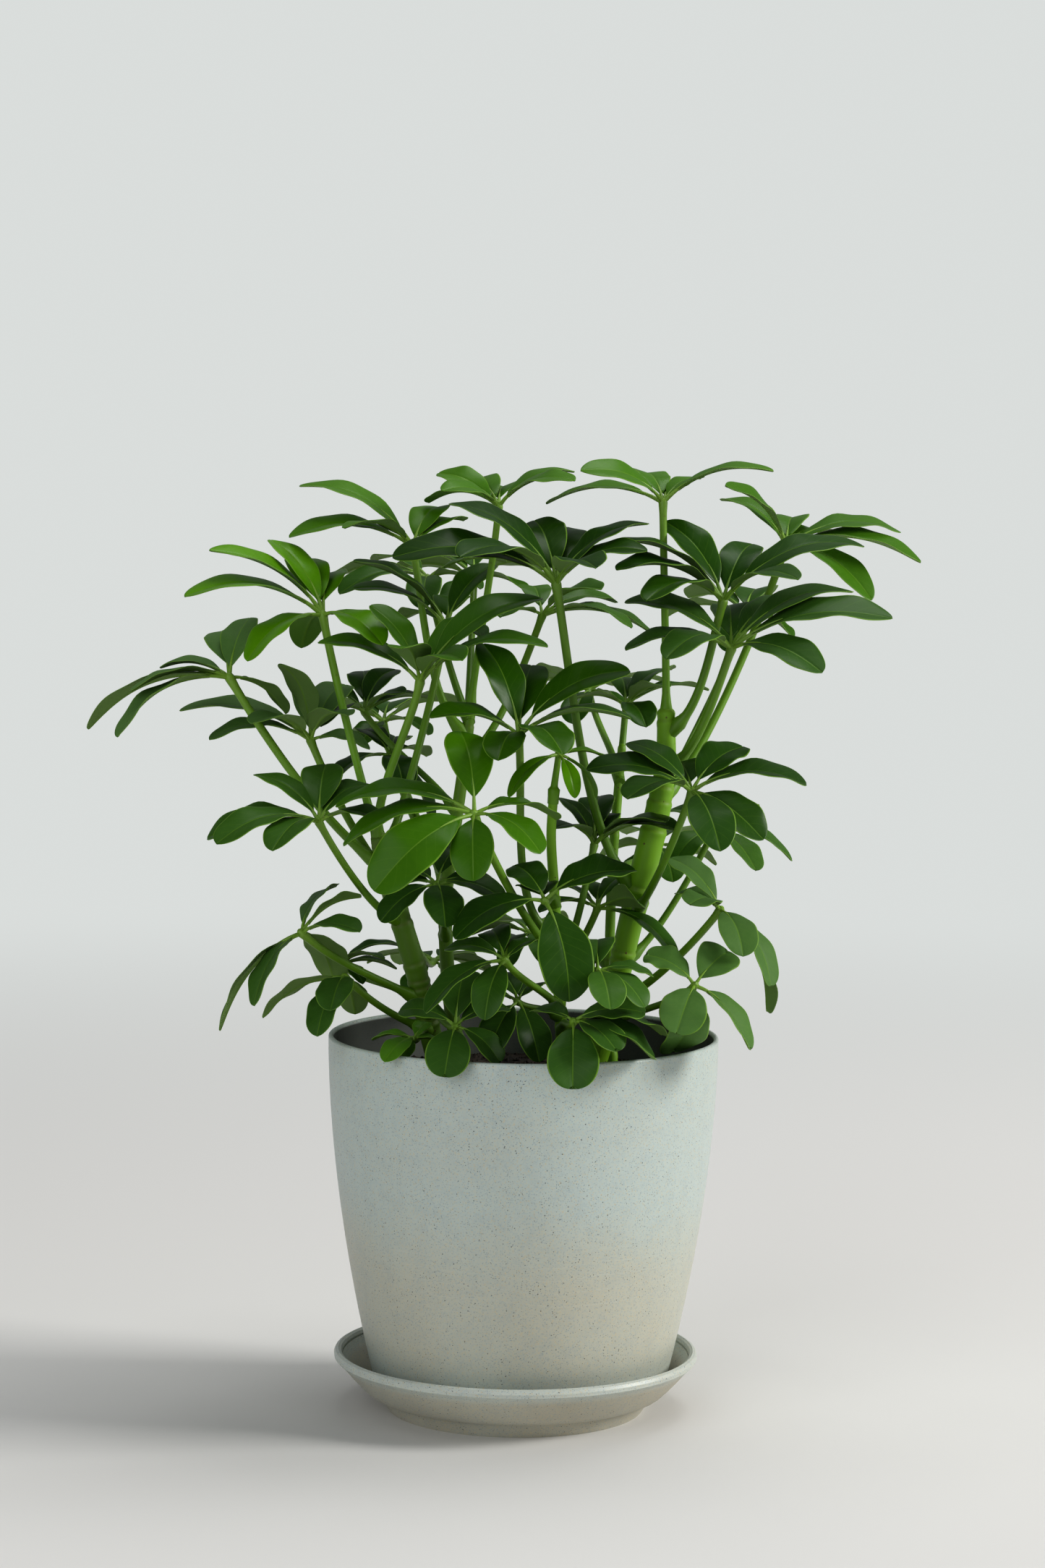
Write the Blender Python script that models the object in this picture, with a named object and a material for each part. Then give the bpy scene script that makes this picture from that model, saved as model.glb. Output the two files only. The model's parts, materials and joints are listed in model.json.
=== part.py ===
"""A potted umbrella plant: five green stems with their compound leaves, soil, a tapered pot and its saucer.

Every length below is in millimetres and every angle in degrees. The frame has its origin on the
surface that the saucer stands on, under the pot's axis, with +Z up and the viewer on the -Y side.
mesh_object turns millimetres into metres as it writes a mesh.
"""

import math
import random
from typing import NamedTuple

import bmesh
import bpy
from mathutils import Matrix, Vector
from mathutils.bvhtree import BVHTree

MM = 0.001
ROUND_STEPS = 32
GAP = 0.3

# Pot: its outer radius falls off from the rim as TAPER * (depth below the rim) ** TAPER_POWER
RIM_HEIGHT = 184.0
RIM_RADIUS = 95.0
TAPER = 0.00227
TAPER_POWER = 1.8
POT_WALL = 2.4
POT_BASE = 11.3
POT_FLOOR = 3.0
POT_BASE_ROUND = 3.0
WALL_HEIGHTS = (60.0, 120.0)
DRAIN_HOLES = 5
DRAIN_RADIUS = 2.5
DRAIN_CIRCLE = 42.0
DRAIN_SIDES = 10

# Saucer: a foot ring, a ledge that carries the pot over a shallow well, a flared wall and a beaded lip
SAUCER_OFFSET = -2.2
FOOT_RADIUS = 62.5
FOOT_TOP_RADIUS = 66.0
FOOT_HEIGHT = 7.0
WELL_RADIUS = 60.2
WELL_FLOOR = 2.8
LEDGE_HEIGHT = POT_BASE - GAP
LEDGE_INNER = 63.6
LEDGE_OUTER = 71.7
LIP_RADIUS = 88.9
LIP_BOTTOM = 24.1
LIP_TOP = 29.0
LIP_INNER = 85.0

LIP_MIDDLE = (LIP_TOP + LIP_BOTTOM) / 2
LIP_INNER_FOOT = LIP_INNER - 1.2
LIP_CREST = LIP_INNER + 1.6
LIP_ROUND = 0.8
LIP_SLOPE = 0.9
LIP_UNDERCUT = 0.2
# Places on the outside of the flared wall, as (radius, height)
WALL_UPPER = (80.0, 16.0)
WALL_LOWER = (72.4, 8.8)

SAUCER_PROFILE = (
    (WELL_RADIUS, WELL_FLOOR), (LEDGE_INNER, LEDGE_HEIGHT), (LEDGE_OUTER, LEDGE_HEIGHT),
    (LIP_INNER_FOOT, LIP_BOTTOM), (LIP_INNER, LIP_TOP - LIP_ROUND), (LIP_CREST, LIP_TOP),
    (LIP_RADIUS - LIP_ROUND, LIP_TOP - LIP_SLOPE), (LIP_RADIUS, LIP_MIDDLE),
    (LIP_RADIUS - LIP_ROUND / 2, LIP_BOTTOM + LIP_ROUND / 2),
    (LIP_RADIUS - 2 * LIP_ROUND, LIP_BOTTOM - LIP_UNDERCUT),
    WALL_UPPER, WALL_LOWER, (FOOT_TOP_RADIUS, FOOT_HEIGHT), (FOOT_RADIUS, 0.0),
)

# Soil
SOIL_TOP = 161.0
SOIL_DIP = 3.0
SOIL_LUMP = 1.6
SOIL_REACH = 80.0
SOIL_RINGS = (60.0, 30.0)
ROOT_END = 112.0
HOLE_OVERRUN = 20.0
STEM_SIDES = 8

# Leaves
PETIOLE_RADIUS = 1.3
PETIOLE_PER_LENGTH = 0.012
PETIOLE_SIDES = 4
PETIOLE_STEPS = 4
FOOT_SWELL = 1.4
NECK_SWELL = 1.1
# How steeply a stalk leaves its stem, how much it nods to its leaf's face, and how far each end bends it
FOOT_RISE = 0.9
FACE_SHARE = 0.25
FOOT_BEND = 0.25
HUB_BEND = 0.3
HUB_RADIUS = 3.2
HUB_HEIGHT = 5.0
HUB_SIDES = 5
BLADE_THICKNESS = 0.9
BLADE_WIDTH = 8.0
BLADE_WIDTH_PER_LENGTH = 0.25
ARCH = 0.13
SAG = 0.10
STALK_WIDTH = 1.4
# Places along a leaflet, from hub to tip, and its width there as a share of its widest
LONG_OUTLINE = ((0.0, 0.0), (0.17, 0.0), (0.42, 0.84), (0.74, 0.94), (1.0, 0.2))
SHORT_OUTLINE = ((0.0, 0.0), (0.2, 0.0), (0.6, 1.0), (1.0, 0.3))
LONG_FROM = 48
SEED = 11
TWIST = 7.0

# Room kept round a stalk and a leaflet while the plant grows, and how far either gives way for it
STALK_ROOM = 0.8
BLADE_ROOM = 0.9
STALK_TURNS = (0, 15, -15, 30, -30, 50, -50, 75, -75, 100, -100)
STALK_RISES = (0, 4, -4, 8, -8, 12, -12)
BLADE_TURNS = (0, 6, -6, 12, -12, 18, -18, 26, -26, 36, -36)
BLADE_SHARES = (1.0, 0.9, 0.8, 0.7, 0.6)
TURN_COST_OF_LENGTH = 90


# Each stem from its root end up, as points of (x, y, z, radius)
STEMS = {
    "left": ((-42, -2, ROOT_END, 5.4), (-42, -2, 172, 5.4), (-47, -8, 192, 5.4), (-52, -13, 215, 5.4),
             (-59, -18, 239, 5.2), (-65, -22, 258, 4.8), (-70, -26, 281, 4.2)),
    "right": ((34, 7, ROOT_END, 5.8), (34, 7, 166, 5.8), (39, 6, 183, 5.8), (45, 3, 208, 5.7),
              (50, 0, 233, 5.9), (57, -3, 264, 6.4), (63, -5, 291, 6.2), (67, -6, 316, 5.0),
              (67, -6, 342, 4.2)),
    "centre": ((20, -31, ROOT_END, 3.0), (20, -31, 170, 3.0), (18, -34, 191, 2.9), (16, -37, 221, 2.7),
               (14, -40, 255, 2.5), (12, -42, 284, 2.3), (13, -44, 307, 2.2)),
    "back": ((44, 26, ROOT_END, 2.8), (44, 26, 170, 2.8), (42, 27, 184, 2.7), (42, 28, 220, 2.5),
             (43, 31, 263, 2.4), (45, 34, 295, 2.3), (47, 38, 321, 2.1)),
    "inner": ((-31, 13, ROOT_END, 3.7), (-31, 13, 172, 3.7), (-35, 14, 190, 3.6), (-38, 15, 217, 3.5),
              (-39, 18, 249, 3.3), (-35, 22, 281, 3.1), (-31, 25, 312, 2.9), (-28, 28, 341, 2.6)),
}


class Leaf(NamedTuple):
    """A compound leaf: the stem it grows from and the height there, the hub where its leaflets meet,
    the way its face leans from straight up as (bearing, degrees), how broad its leaflets are, and the
    leaflets as (bearing, rise, length), with a fourth number where a leaflet is also turned about its
    own length. Bearings go round from +X towards +Y."""

    stem: str
    height: float
    hub: tuple
    lean: tuple
    breadth: float
    leaflets: tuple


LEAVES = {
    "front_big": Leaf("centre", 255, (9, -78, 258), (270, 15), 1.35, (
        (310, -65, 49), (195, -20, 46), (15, 18, 46), (100, 7, 29), (130, 7, 27))),
    "middle": Leaf("centre", 240, (-4, -52, 333), (270, 12), 1.1, (
        (200, 13, 45), (140, 62, 49), (80, 41, 49), (15, 31, 62), (345, 11, 55), (295, -3, 51),
        (255, -12, 40))),
    "mid_left": Leaf("left", 282, (-51, -38, 357), (270, 12), 1.0, (
        (165, 19, 54), (160, 55, 44), (45, 36, 54), (20, 23, 73), (350, 13, 65), (295, 17, 49),
        (260, 22, 48))),
    "upper_middle": Leaf("right", 256, (13, -34, 404), (270, 14), 1.1, (
        (170, 37, 64), (190, 9, 79), (225, 8, 66), (105, 39, 48), (85, 34, 56), (20, 33, 55),
        (345, 29, 47), (290, 11, 52))),
    "upper_right": Leaf("right", 337, (93, -16, 396), (270, 14), 1.0, (
        (196, 36, 60), (140, 41, 52), (212, 23, 62), (230, 10, 60), (65, 37, 47), (15, 23, 76, 8),
        (310, 15, 54))),
    "mid_right": Leaf("right", 319, (97, -24, 374), (270, 10), 1.0, (
        (170, 24, 56), (195, 0, 53), (235, -1, 55), (95, 27, 45), (45, 27, 55), (15, 20, 67, 6),
        (350, 11, 78, 6), (320, -9, 54, 15))),
    "front_left": Leaf("centre", 231, (-24, -90, 299), (270, 12), 1.2, (
        (165, 2, 67), (185, -12, 62), (210, -24, 61, -28), (105, 62, 45), (270, -47, 38), (325, -21, 40),
        (25, -2, 43))),
    "front_right": Leaf("right", 250, (78, -46, 307), (280, 12), 1.2, (
        (185, 12, 51), (155, 27, 40), (100, 21, 37), (45, 30, 41), (5, 12, 55), (330, -29, 43, 20),
        (290, -39, 44), (230, 0, 48))),
    "far_right": Leaf("right", 305, (127, 45, 422), (270, 8), 1.0, (
        (205, 43, 45), (145, 34, 44), (80, 21, 41), (55, 16, 38), (15, 7, 61), (355, -6, 67),
        (330, -28, 53))),
    "top_right": Leaf("right", 342, (64, -8, 443), (270, 10), 1.0, (
        (205, 20, 46, -20), (165, -1, 58), (105, 21, 40), (75, 17, 43), (45, 24, 30), (355, 17, 55))),
    "top_middle": Leaf("inner", 341, (-15, 18, 440), (250, 10), 1.0, (
        (160, 28, 36, -20), (220, 13, 37, -20), (135, 2, 50), (85, 10, 45), (15, 27, 42), (330, 19, 44),
        (110, 18, 42))),
    "young_left": Leaf("left", 279, (-99, -5, 387), (270, 8), 1.0, (
        (190, 29, 63), (145, 41, 49), (200, 9, 69), (110, 32, 52), (90, 30, 51), (220, -23, 49),
        (310, -15, 49), (110, -23, 40))),
    "top_left": Leaf("inner", 331, (-57, 28, 420), (270, 12), 1.0, (
        (190, 5, 61), (170, 29, 64), (225, 6, 47), (70, 30, 42), (50, 25, 41), (315, -5, 43))),
    "far_left": Leaf("left", 272, (-143, -15, 357), (200, 6), 1.0, (
        (165, 8, 36), (205, -7, 50), (175, -19, 74), (210, -22, 65), (100, 30, 45), (75, 38, 40),
        (40, -27, 38))),
    "lower_left": Leaf("left", 246, (-97, -62, 292), (250, 10), 1.1, (
        (155, 32, 40), (90, 36, 42), (175, -9, 54), (210, -13, 54), (245, -12, 47), (330, 12, 35),
        (50, 26, 38))),
    "left_shaded": Leaf("left", 267, (-105, 4, 326), (270, 8), 1.0, (
        (240, 57, 46), (170, 23, 67), (195, 9, 50), (225, 2, 48), (315, 21, 44), (350, -5, 29),
        (65, 36, 46), (95, 29, 46))),
    "over_rim_right": Leaf("centre", 193, (23, -88, 203), (270, 20), 1.4, (
        (155, 11, 21), (350, 9, 34), (270, -49, 37), (320, -21, 29), (5, -23, 42), (30, -9, 49))),
    "over_rim_left": Leaf("left", 197, (-32, -74, 198), (270, 20), 1.3, (
        (165, 14, 28), (80, 49, 31), (25, 17, 28), (260, -36, 33), (345, -35, 27))),
    "drooping_left": Leaf("left", 207, (-105, -56, 239), (235, 15), 1.1, (
        (190, -50, 60, 35), (230, -44, 45, 15), (65, -38, 46), (330, 6, 33), (25, 36, 38, -35),
        (60, 34, 36, -35))),
    "drooping_right": Leaf("right", 205, (93, -30, 249), (300, 15), 1.15, (
        (145, 40, 37), (240, 12, 31), (145, 18, 25), (290, -30, 35), (335, -50, 44, -12), (30, -59, 58))),
    "drooping_low_left": Leaf("left", 192, (-85, -40, 216), (240, 15), 1.1, (
        (180, -26, 44, 45), (235, -49, 34), (260, -19, 34), (75, -52, 24))),
    "drooping_low_right": Leaf("right", 191, (80, -62, 217), (290, 25), 1.4, (
        (160, 29, 28), (42, 35, 27, 10), (250, -37, 32), (115, -62, 40), (350, -47, 40, -10))),
    "low_middle": Leaf("centre", 205, (-9, -80, 230), (260, 18), 1.0, (
        (205, -27, 46), (160, 9, 30), (250, -40, 36), (105, 22, 31), (80, 21, 33), (35, 22, 20))),
    "low_right": Leaf("right", 200, (34, -84, 226), (280, 20), 1.1, (
        (90, 23, 30), (5, -4, 26), (320, -19, 31), (280, -28, 34), (135, 14, 17))),
    "rosette": Leaf("left", 190, (-52, -56, 189), (270, 15), 0.8, (
        (170, 1, 20), (245, -14, 29), (245, -40, 12), (60, 27, 15), (10, -1, 12))),
    "inner_low": Leaf("inner", 231, (-42, -50, 262), (270, 15), 1.1, (
        (280, -25, 38), (200, -31, 32), (160, -6, 26), (140, 14, 28), (65, 32, 34), (20, -3, 33),
        (340, -9, 38))),
    "new_shoot": Leaf("centre", 307, (15, -46, 324), (270, 10), 0.6, (
        (305, -52, 24), (15, -39, 28), (205, -32, 34), (30, -11, 33))),
    "inner_left": Leaf("left", 277, (-40, 22, 381), (270, 12), 1.0, (
        (170, 35, 57), (200, 22, 51), (85, 17, 44), (45, 44, 44), (300, -6, 36), (130, 6, 39))),
    "behind_right": Leaf("right", 224, (92, 22, 282), (300, 10), 1.1, (
        (310, -27, 36), (220, -25, 28), (10, -18, 43), (60, 16, 42), (125, 13, 36))),
    "low_dark": Leaf("centre", 200, (-3, -52, 207), (270, 15), 1.1, (
        (235, -42, 32), (300, -51, 33), (195, -3, 25), (115, 27, 25), (30, 18, 22))),
    "small_left": Leaf("left", 203, (-90, 8, 216), (0, 0), 0.7, (
        (25, 16, 33), (320, 11, 29), (10, -5, 28), (305, -17, 21))),
    "centre_dark": Leaf("centre", 224, (33, -12, 278), (270, 8), 1.0, (
        (235, 18, 36), (145, 47, 30), (85, 31, 42), (50, 34, 34), (10, 15, 45), (320, 12, 47))),
    "centre_small": Leaf("centre", 217, (35, -8, 247), (0, 0), 0.9, (
        (150, 20, 29), (85, 15, 35), (300, 9, 40, -60), (335, -9, 49), (35, 17, 30), (235, 8, 32))),
    "upper_inner": Leaf("inner", 320, (7, 58, 386), (270, 8), 1.0, (
        (315, 21, 43), (25, 12, 42), (335, -3, 49), (10, -4, 60), (100, 25, 34), (220, 1, 28))),
    "inner_left_high": Leaf("inner", 281, (-81, 52, 337), (270, 5), 1.0, (
        (95, 29, 39), (60, 32, 35), (325, 25, 27), (155, 25, 28), (15, 11, 36), (240, -5, 40))),
    "inner_left_low": Leaf("inner", 263, (-68, 44, 316), (0, 0), 1.0, (
        (340, -23, 47), (225, -15, 38), (125, 29, 31), (85, 27, 38), (35, 23, 35), (285, -21, 38))),
    "inner_right": Leaf("back", 318, (49, 50, 342), (270, 5), 1.0, (
        (310, 21, 32), (10, 12, 43), (285, -13, 36), (95, 22, 35), (195, 9, 27), (50, 25, 41))),
    "back_top_left": Leaf("inner", 339, (-51, 88, 403), (0, 0), 1.0, (
        (175, -1, 53), (210, -7, 50), (135, 13, 42), (5, 13, 41), (315, -5, 38), (275, -18, 42))),
    "back_top": Leaf("inner", 336, (-28, 118, 403), (90, 12), 1.1, (
        (180, 5, 42), (135, 11, 48), (90, 8, 50), (20, 9, 42), (325, -11, 34), (245, -27, 31))),
    "back_right": Leaf("right", 298, (111, 112, 386), (90, 12), 1.1, (
        (170, -1, 42), (125, 9, 48), (75, 5, 52), (20, 3, 42), (325, -19, 31), (250, -33, 33))),
    "back_left": Leaf("inner", 256, (-74, 118, 328), (90, 12), 1.1, (
        (190, 11, 40), (130, 5, 46), (85, 0, 48), (20, 15, 42), (315, -6, 35), (245, -21, 26))),
    "back_middle": Leaf("back", 313, (32, 125, 345), (90, 12), 1.1, (
        (180, 3, 42), (125, 5, 46), (70, 1, 50), (15, 6, 42), (315, -20, 34), (250, -31, 30))),
    "back_low_left": Leaf("left", 219, (-46, 80, 209), (90, 15), 1.1, (
        (180, -1, 34), (120, -9, 38), (60, -7, 36), (15, -12, 31), (305, -37, 26), (240, -29, 28))),
    "back_low_right": Leaf("back", 256, (67, 112, 266), (90, 15), 1.1, (
        (180, -11, 30), (110, 5, 40), (55, 4, 42), (10, -17, 34), (290, -32, 30), (230, -38, 30))),
    "back_low_middle": Leaf("back", 216, (2, 72, 225), (90, 12), 1.0, (
        (180, -1, 29), (120, 1, 38), (60, 3, 36), (15, -9, 27), (295, -30, 26), (235, -36, 26))),
}


def direction(bearing, rise):
    """The unit vector at a bearing round +Z and a rise above the level."""
    turn, lift = math.radians(bearing), math.radians(rise)
    return Vector((math.cos(turn) * math.cos(lift), math.sin(turn) * math.cos(lift), math.sin(lift)))


def facing(lean):
    """The way a leaf's upper face looks: straight up, tipped by lean's degrees towards its bearing."""
    bearing, tilt = lean
    return direction(bearing, 90.0 - tilt)


def mesh_object(name, verts, faces, material, smooth=True):
    """A new object from points in millimetres, with its faces pointing out."""
    mesh = bpy.data.meshes.new(name)
    mesh.from_pydata([Vector(v) * MM for v in verts], [], faces)
    form = bmesh.new()
    form.from_mesh(mesh)
    bmesh.ops.recalc_face_normals(form, faces=form.faces)
    bmesh.ops.triangulate(form, faces=form.faces)
    form.to_mesh(mesh)
    form.free()
    mesh.materials.append(material)
    if smooth:
        mesh.shade_smooth()
        mesh.set_sharp_from_angle(angle=math.radians(40))
    obj = bpy.data.objects.new(name, mesh)
    bpy.context.scene.collection.objects.link(obj)
    return obj


def finish_material(name, colour, roughness):
    """A Principled material with no metal in it."""
    material = bpy.data.materials.new(name)
    material.use_nodes = True
    shader = material.node_tree.nodes["Principled BSDF"]
    shader.inputs["Base Color"].default_value = (*colour, 1.0)
    shader.inputs["Roughness"].default_value = roughness
    shader.inputs["Metallic"].default_value = 0.0
    return material


def rings_to_mesh(rings):
    """Points and faces of a closed tube through rings of equal size, with a flat face at both ends."""
    size = len(rings[0])
    verts = [point for ring in rings for point in ring]
    faces = [tuple(range(size))[::-1], tuple(range(len(verts) - size, len(verts)))]
    for ring in range(len(rings) - 1):
        for side in range(size):
            a, b = ring * size + side, ring * size + (side + 1) % size
            faces.append((a, b, b + size, a + size))
    return verts, faces


def smooth_path(points, count):
    """count + 1 points evenly spaced by parameter on the smooth curve through the given points."""
    points = [Vector(p) for p in points]
    ends = [2 * points[0] - points[1], *points, 2 * points[-1] - points[-2]]
    path = []
    for step in range(count + 1):
        place = min(step * (len(points) - 1) / count, len(points) - 1 - 1e-9)
        first = int(place)
        t = place - first
        a, b, c, d = ends[first:first + 4]
        path.append(0.5 * (2 * b + (c - a) * t + (2 * a - 5 * b + 4 * c - d) * t ** 2
                           + (3 * b - a - 3 * c + d) * t ** 3))
    return path


def tube(path, radii, sides):
    """A tube of round section along a path, its ring turned as little as it can be from point to point."""
    across = (path[1] - path[0]).orthogonal().normalized()
    rings = []
    for index, point in enumerate(path):
        along = (path[min(index + 1, len(path) - 1)] - path[max(index - 1, 0)]).normalized()
        across = (across - along * across.dot(along)).normalized()
        other = along.cross(across)
        rings.append([
            point + radii[index] * (across * math.cos(turn) + other * math.sin(turn))
            for turn in (2 * math.pi * side / sides for side in range(sides))
        ])
    return rings_to_mesh(rings)


def stem_at(stem, height):
    """The middle of a stem, its direction and its radius at a height."""
    path = smooth_path(stem, 60)
    for below, above in zip(path, path[1:]):
        if below.z <= height <= above.z:
            break
    share = min((height - below.z) / (above.z - below.z), 1.0)
    middle = below.lerp(above, share)
    return middle.xyz, (above - below).xyz.normalized(), middle.w


def petiole_radii(leaf):
    """Thicker where the stalk clasps the stem; a leaf with long leaflets has a stouter one."""
    thin = PETIOLE_RADIUS + PETIOLE_PER_LENGTH * max(leaflet[2] for leaflet in leaf.leaflets)
    return [thin * FOOT_SWELL, thin * NECK_SWELL] + [thin] * (PETIOLE_STEPS - 1)


def petiole(leaf, turn, rise, closer=0.0, room=0.0):
    """The leaf's stalk from its stem to the hub, with its foot moved round, up and closer to the stem."""
    stem = STEMS[leaf.stem]
    height = leaf.height + rise
    middle, up, stem_radius = stem_at(stem, height)
    hub = Vector(leaf.hub)
    radii = petiole_radii(leaf)
    out = hub - middle
    reach = out.length
    if leaf.height >= stem[-1][2]:
        start, first = middle + up * (radii[0] - closer), up
    else:
        out = Matrix.Rotation(math.radians(turn), 3, up) @ (out - up * out.dot(up)).normalized()
        first = (out + up * FOOT_RISE).normalized()
        start = middle + out * (stem_radius + 2 * radii[0] - closer)
    last = ((1 - FACE_SHARE) * (hub - start).normalized() + FACE_SHARE * facing(leaf.lean)).normalized()
    bend_a, bend_b = start + first * reach * FOOT_BEND, hub - last * reach * HUB_BEND
    path = []
    for step in range(PETIOLE_STEPS + 1):
        t = step / PETIOLE_STEPS
        path.append(start * (1 - t) ** 3 + 3 * bend_a * t * (1 - t) ** 2
                    + 3 * bend_b * t ** 2 * (1 - t) + hub * t ** 3)
    return tube(path, [radius + room for radius in radii], PETIOLE_SIDES)


def hub_knob(leaf):
    """The small knob that a leaf's stalk and leaflets meet in."""
    hub, up = Vector(leaf.hub), facing(leaf.lean)
    path = [hub + up * HUB_HEIGHT * share for share in (-0.5, 0.0, 0.5)]
    return tube(path, [HUB_RADIUS * 0.4, HUB_RADIUS, HUB_RADIUS * 0.4], HUB_SIDES)


def leaflet_rings(leaf, leaflet, twist, room=0.0):
    """One blade: a thin strip along an arched midrib, narrow at its stalk and widest past its middle."""
    bearing, rise, length = leaflet
    hub = Vector(leaf.hub)
    along = direction(bearing, rise)
    side = along.cross(facing(leaf.lean))
    if side.length < 0.2:
        side = along.cross(direction(bearing, rise - 90))
    side = Matrix.Rotation(math.radians(twist), 3, along) @ side.normalized()
    over = side.cross(along)
    widest = (BLADE_WIDTH + BLADE_WIDTH_PER_LENGTH * length) * leaf.breadth
    rings = []
    for place, share in LONG_OUTLINE if length >= LONG_FROM else SHORT_OUTLINE:
        middle = hub + along * length * place + over * ARCH * length * 4 * place * (1 - place)
        middle.z += SAG * length * place * (1 - place)
        half = max(widest * share, STALK_WIDTH) / 2 + room
        slope = ARCH * 4 * (1 - 2 * place)
        upright = (over - along * slope).normalized() * (BLADE_THICKNESS / 2 + room)
        rings.append([middle - side * half - upright, middle + side * half - upright,
                      middle + side * half + upright, middle - side * half + upright])
    return rings


class Thicket:
    """Everything that stands in place so far, to test a new piece against."""

    def __init__(self):
        self.standing = []

    def add(self, owner, body):
        """Put a piece in place under its owner's name."""
        self.standing.append((owner, *reach_of(body), BVHTree.FromPolygons(*body)))

    def is_clear(self, body, apart_from=()):
        """Whether a piece would cross nothing that stands, apart from what these owners have."""
        low, high = reach_of(body)
        tree = None
        for owner, other_low, other_high, other in self.standing:
            if owner in apart_from:
                continue
            if any(low[i] > other_high[i] or other_low[i] > high[i] for i in range(3)):
                continue
            tree = tree or BVHTree.FromPolygons(*body)
            if tree.overlap(other):
                return False
        return True


def reach_of(body):
    """The lowest and the highest corner of the box round a piece."""
    points = body[0]
    return (tuple(min(p[i] for p in points) for i in range(3)),
            tuple(max(p[i] for p in points) for i in range(3)))


def foot_gap(stalk, stem_tree):
    """How far a stalk's lower end is from its stem."""
    ring = stalk[0][:PETIOLE_SIDES]
    points = ring + [(a + b) / 2 for a, b in zip(ring, ring[1:] + ring[:1])]
    return min(stem_tree.find_nearest(point)[3] for point in points)


def settle_stalk(thicket, name):
    """The leaf's stalk with its foot moved no further than it takes to clear the others."""
    leaf = LEAVES[name]
    stem_tree = BVHTree.FromPolygons(*stem_body(STEMS[leaf.stem]))
    top = leaf.height >= STEMS[leaf.stem][-1][2]
    moves = [(0, 0)] if top else sorted(
        ((turn, rise) for turn in STALK_TURNS for rise in STALK_RISES),
        key=lambda move: abs(move[0]) + 2 * abs(move[1]),
    )
    for turn, rise in moves:
        closer = foot_gap(petiole(leaf, turn, rise), stem_tree) - GAP
        plain, roomy = (petiole(leaf, turn, rise, closer, room) for room in (0.0, STALK_ROOM))
        if thicket.is_clear(roomy, (name, leaf.stem)) and thicket.is_clear(plain, (name,)):
            return plain
    raise ValueError(f"{name}: its stalk finds no clear way")


def settle_leaflet(thicket, name, leaflet, twist, siblings):
    """The leaflet turned, lifted or shortened no more than it takes to clear the other leaves."""
    leaf = LEAVES[name]
    bearing, rise, length = leaflet
    moves = sorted(
        ((turn, lift, share) for share in BLADE_SHARES for turn in BLADE_TURNS for lift in BLADE_TURNS),
        key=lambda move: abs(move[0]) + abs(move[1]) + TURN_COST_OF_LENGTH * (1 - move[2]),
    )
    for turn, lift, share in moves:
        moved = (bearing + turn, rise + lift, length * share)
        blade = rings_to_mesh(leaflet_rings(leaf, moved, twist)[1:])
        roomy = rings_to_mesh(leaflet_rings(leaf, moved, twist, BLADE_ROOM))
        if siblings.is_clear(blade) and thicket.is_clear(roomy, (name,)):
            siblings.add(name, blade)
            return moved
    return None


def grow():
    """Every leaf's pieces: its stalk, its knob and each leaflet that finds room, by the leaf's name."""
    thicket = Thicket()
    for name, stem in STEMS.items():
        thicket.add(name, stem_body(stem))
    for name, profile in (("pot", pot_profile()), ("saucer", SAUCER_PROFILE)):
        thicket.add(name, turned(profile))
    thicket.add("soil", turned([(DRAIN_RADIUS, SOIL_TOP), (SOIL_REACH, SOIL_TOP)]))
    pieces = {name: [hub_knob(leaf)] for name, leaf in LEAVES.items()}
    for name, (knob,) in pieces.items():
        thicket.add(name, knob)
    for name in LEAVES:
        pieces[name].append(settle_stalk(thicket, name))
        thicket.add(name, pieces[name][-1])
    for name, leaf in LEAVES.items():
        draw = random.Random(f"{SEED} {name}")
        siblings = Thicket()
        for bearing, rise, length, *turned_by in leaf.leaflets:
            twist = draw.uniform(-TWIST, TWIST) + sum(turned_by)
            moved = settle_leaflet(thicket, name, (bearing, rise, length), twist, siblings)
            if moved:
                pieces[name].append(rings_to_mesh(leaflet_rings(leaf, moved, twist)))
                thicket.add(name, pieces[name][-1])
            else:
                print(f"{name}: no room for the leaflet at {leaflet}")
    return pieces


def evaluated_mesh(obj):
    """The object's mesh with its modifiers applied."""
    bpy.context.view_layer.update()
    return bpy.data.meshes.new_from_object(obj.evaluated_get(bpy.context.evaluated_depsgraph_get()))


def apply_modifiers(obj):
    """Keep what the modifiers make as the object's own mesh."""
    mesh = evaluated_mesh(obj)
    obj.modifiers.clear()
    obj.data = mesh


def join(obj, others):
    """One Boolean union of the object with the others, applied, with the others then removed."""
    group = bpy.data.collections.new("joined")
    bpy.context.scene.collection.children.link(group)
    for other in others:
        group.objects.link(other)
    union = obj.modifiers.new("Join", "BOOLEAN")
    union.operation = "UNION"
    union.solver = "EXACT"
    union.operand_type = "COLLECTION"
    union.collection = group
    apply_modifiers(obj)
    for other in others:
        bpy.data.objects.remove(other)
    bpy.data.collections.remove(group)


def cut(obj, cutters):
    """Take the cutters' shapes out of the object."""
    for cutter in cutters:
        hole = obj.modifiers.new("Hole", "BOOLEAN")
        hole.operation = "DIFFERENCE"
        hole.solver = "EXACT"
        hole.object = cutter
    apply_modifiers(obj)
    for cutter in cutters:
        bpy.data.objects.remove(cutter)


def pot_radius(height):
    """The pot's outer radius at a height."""
    return RIM_RADIUS - TAPER * (RIM_HEIGHT - height) ** TAPER_POWER


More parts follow.
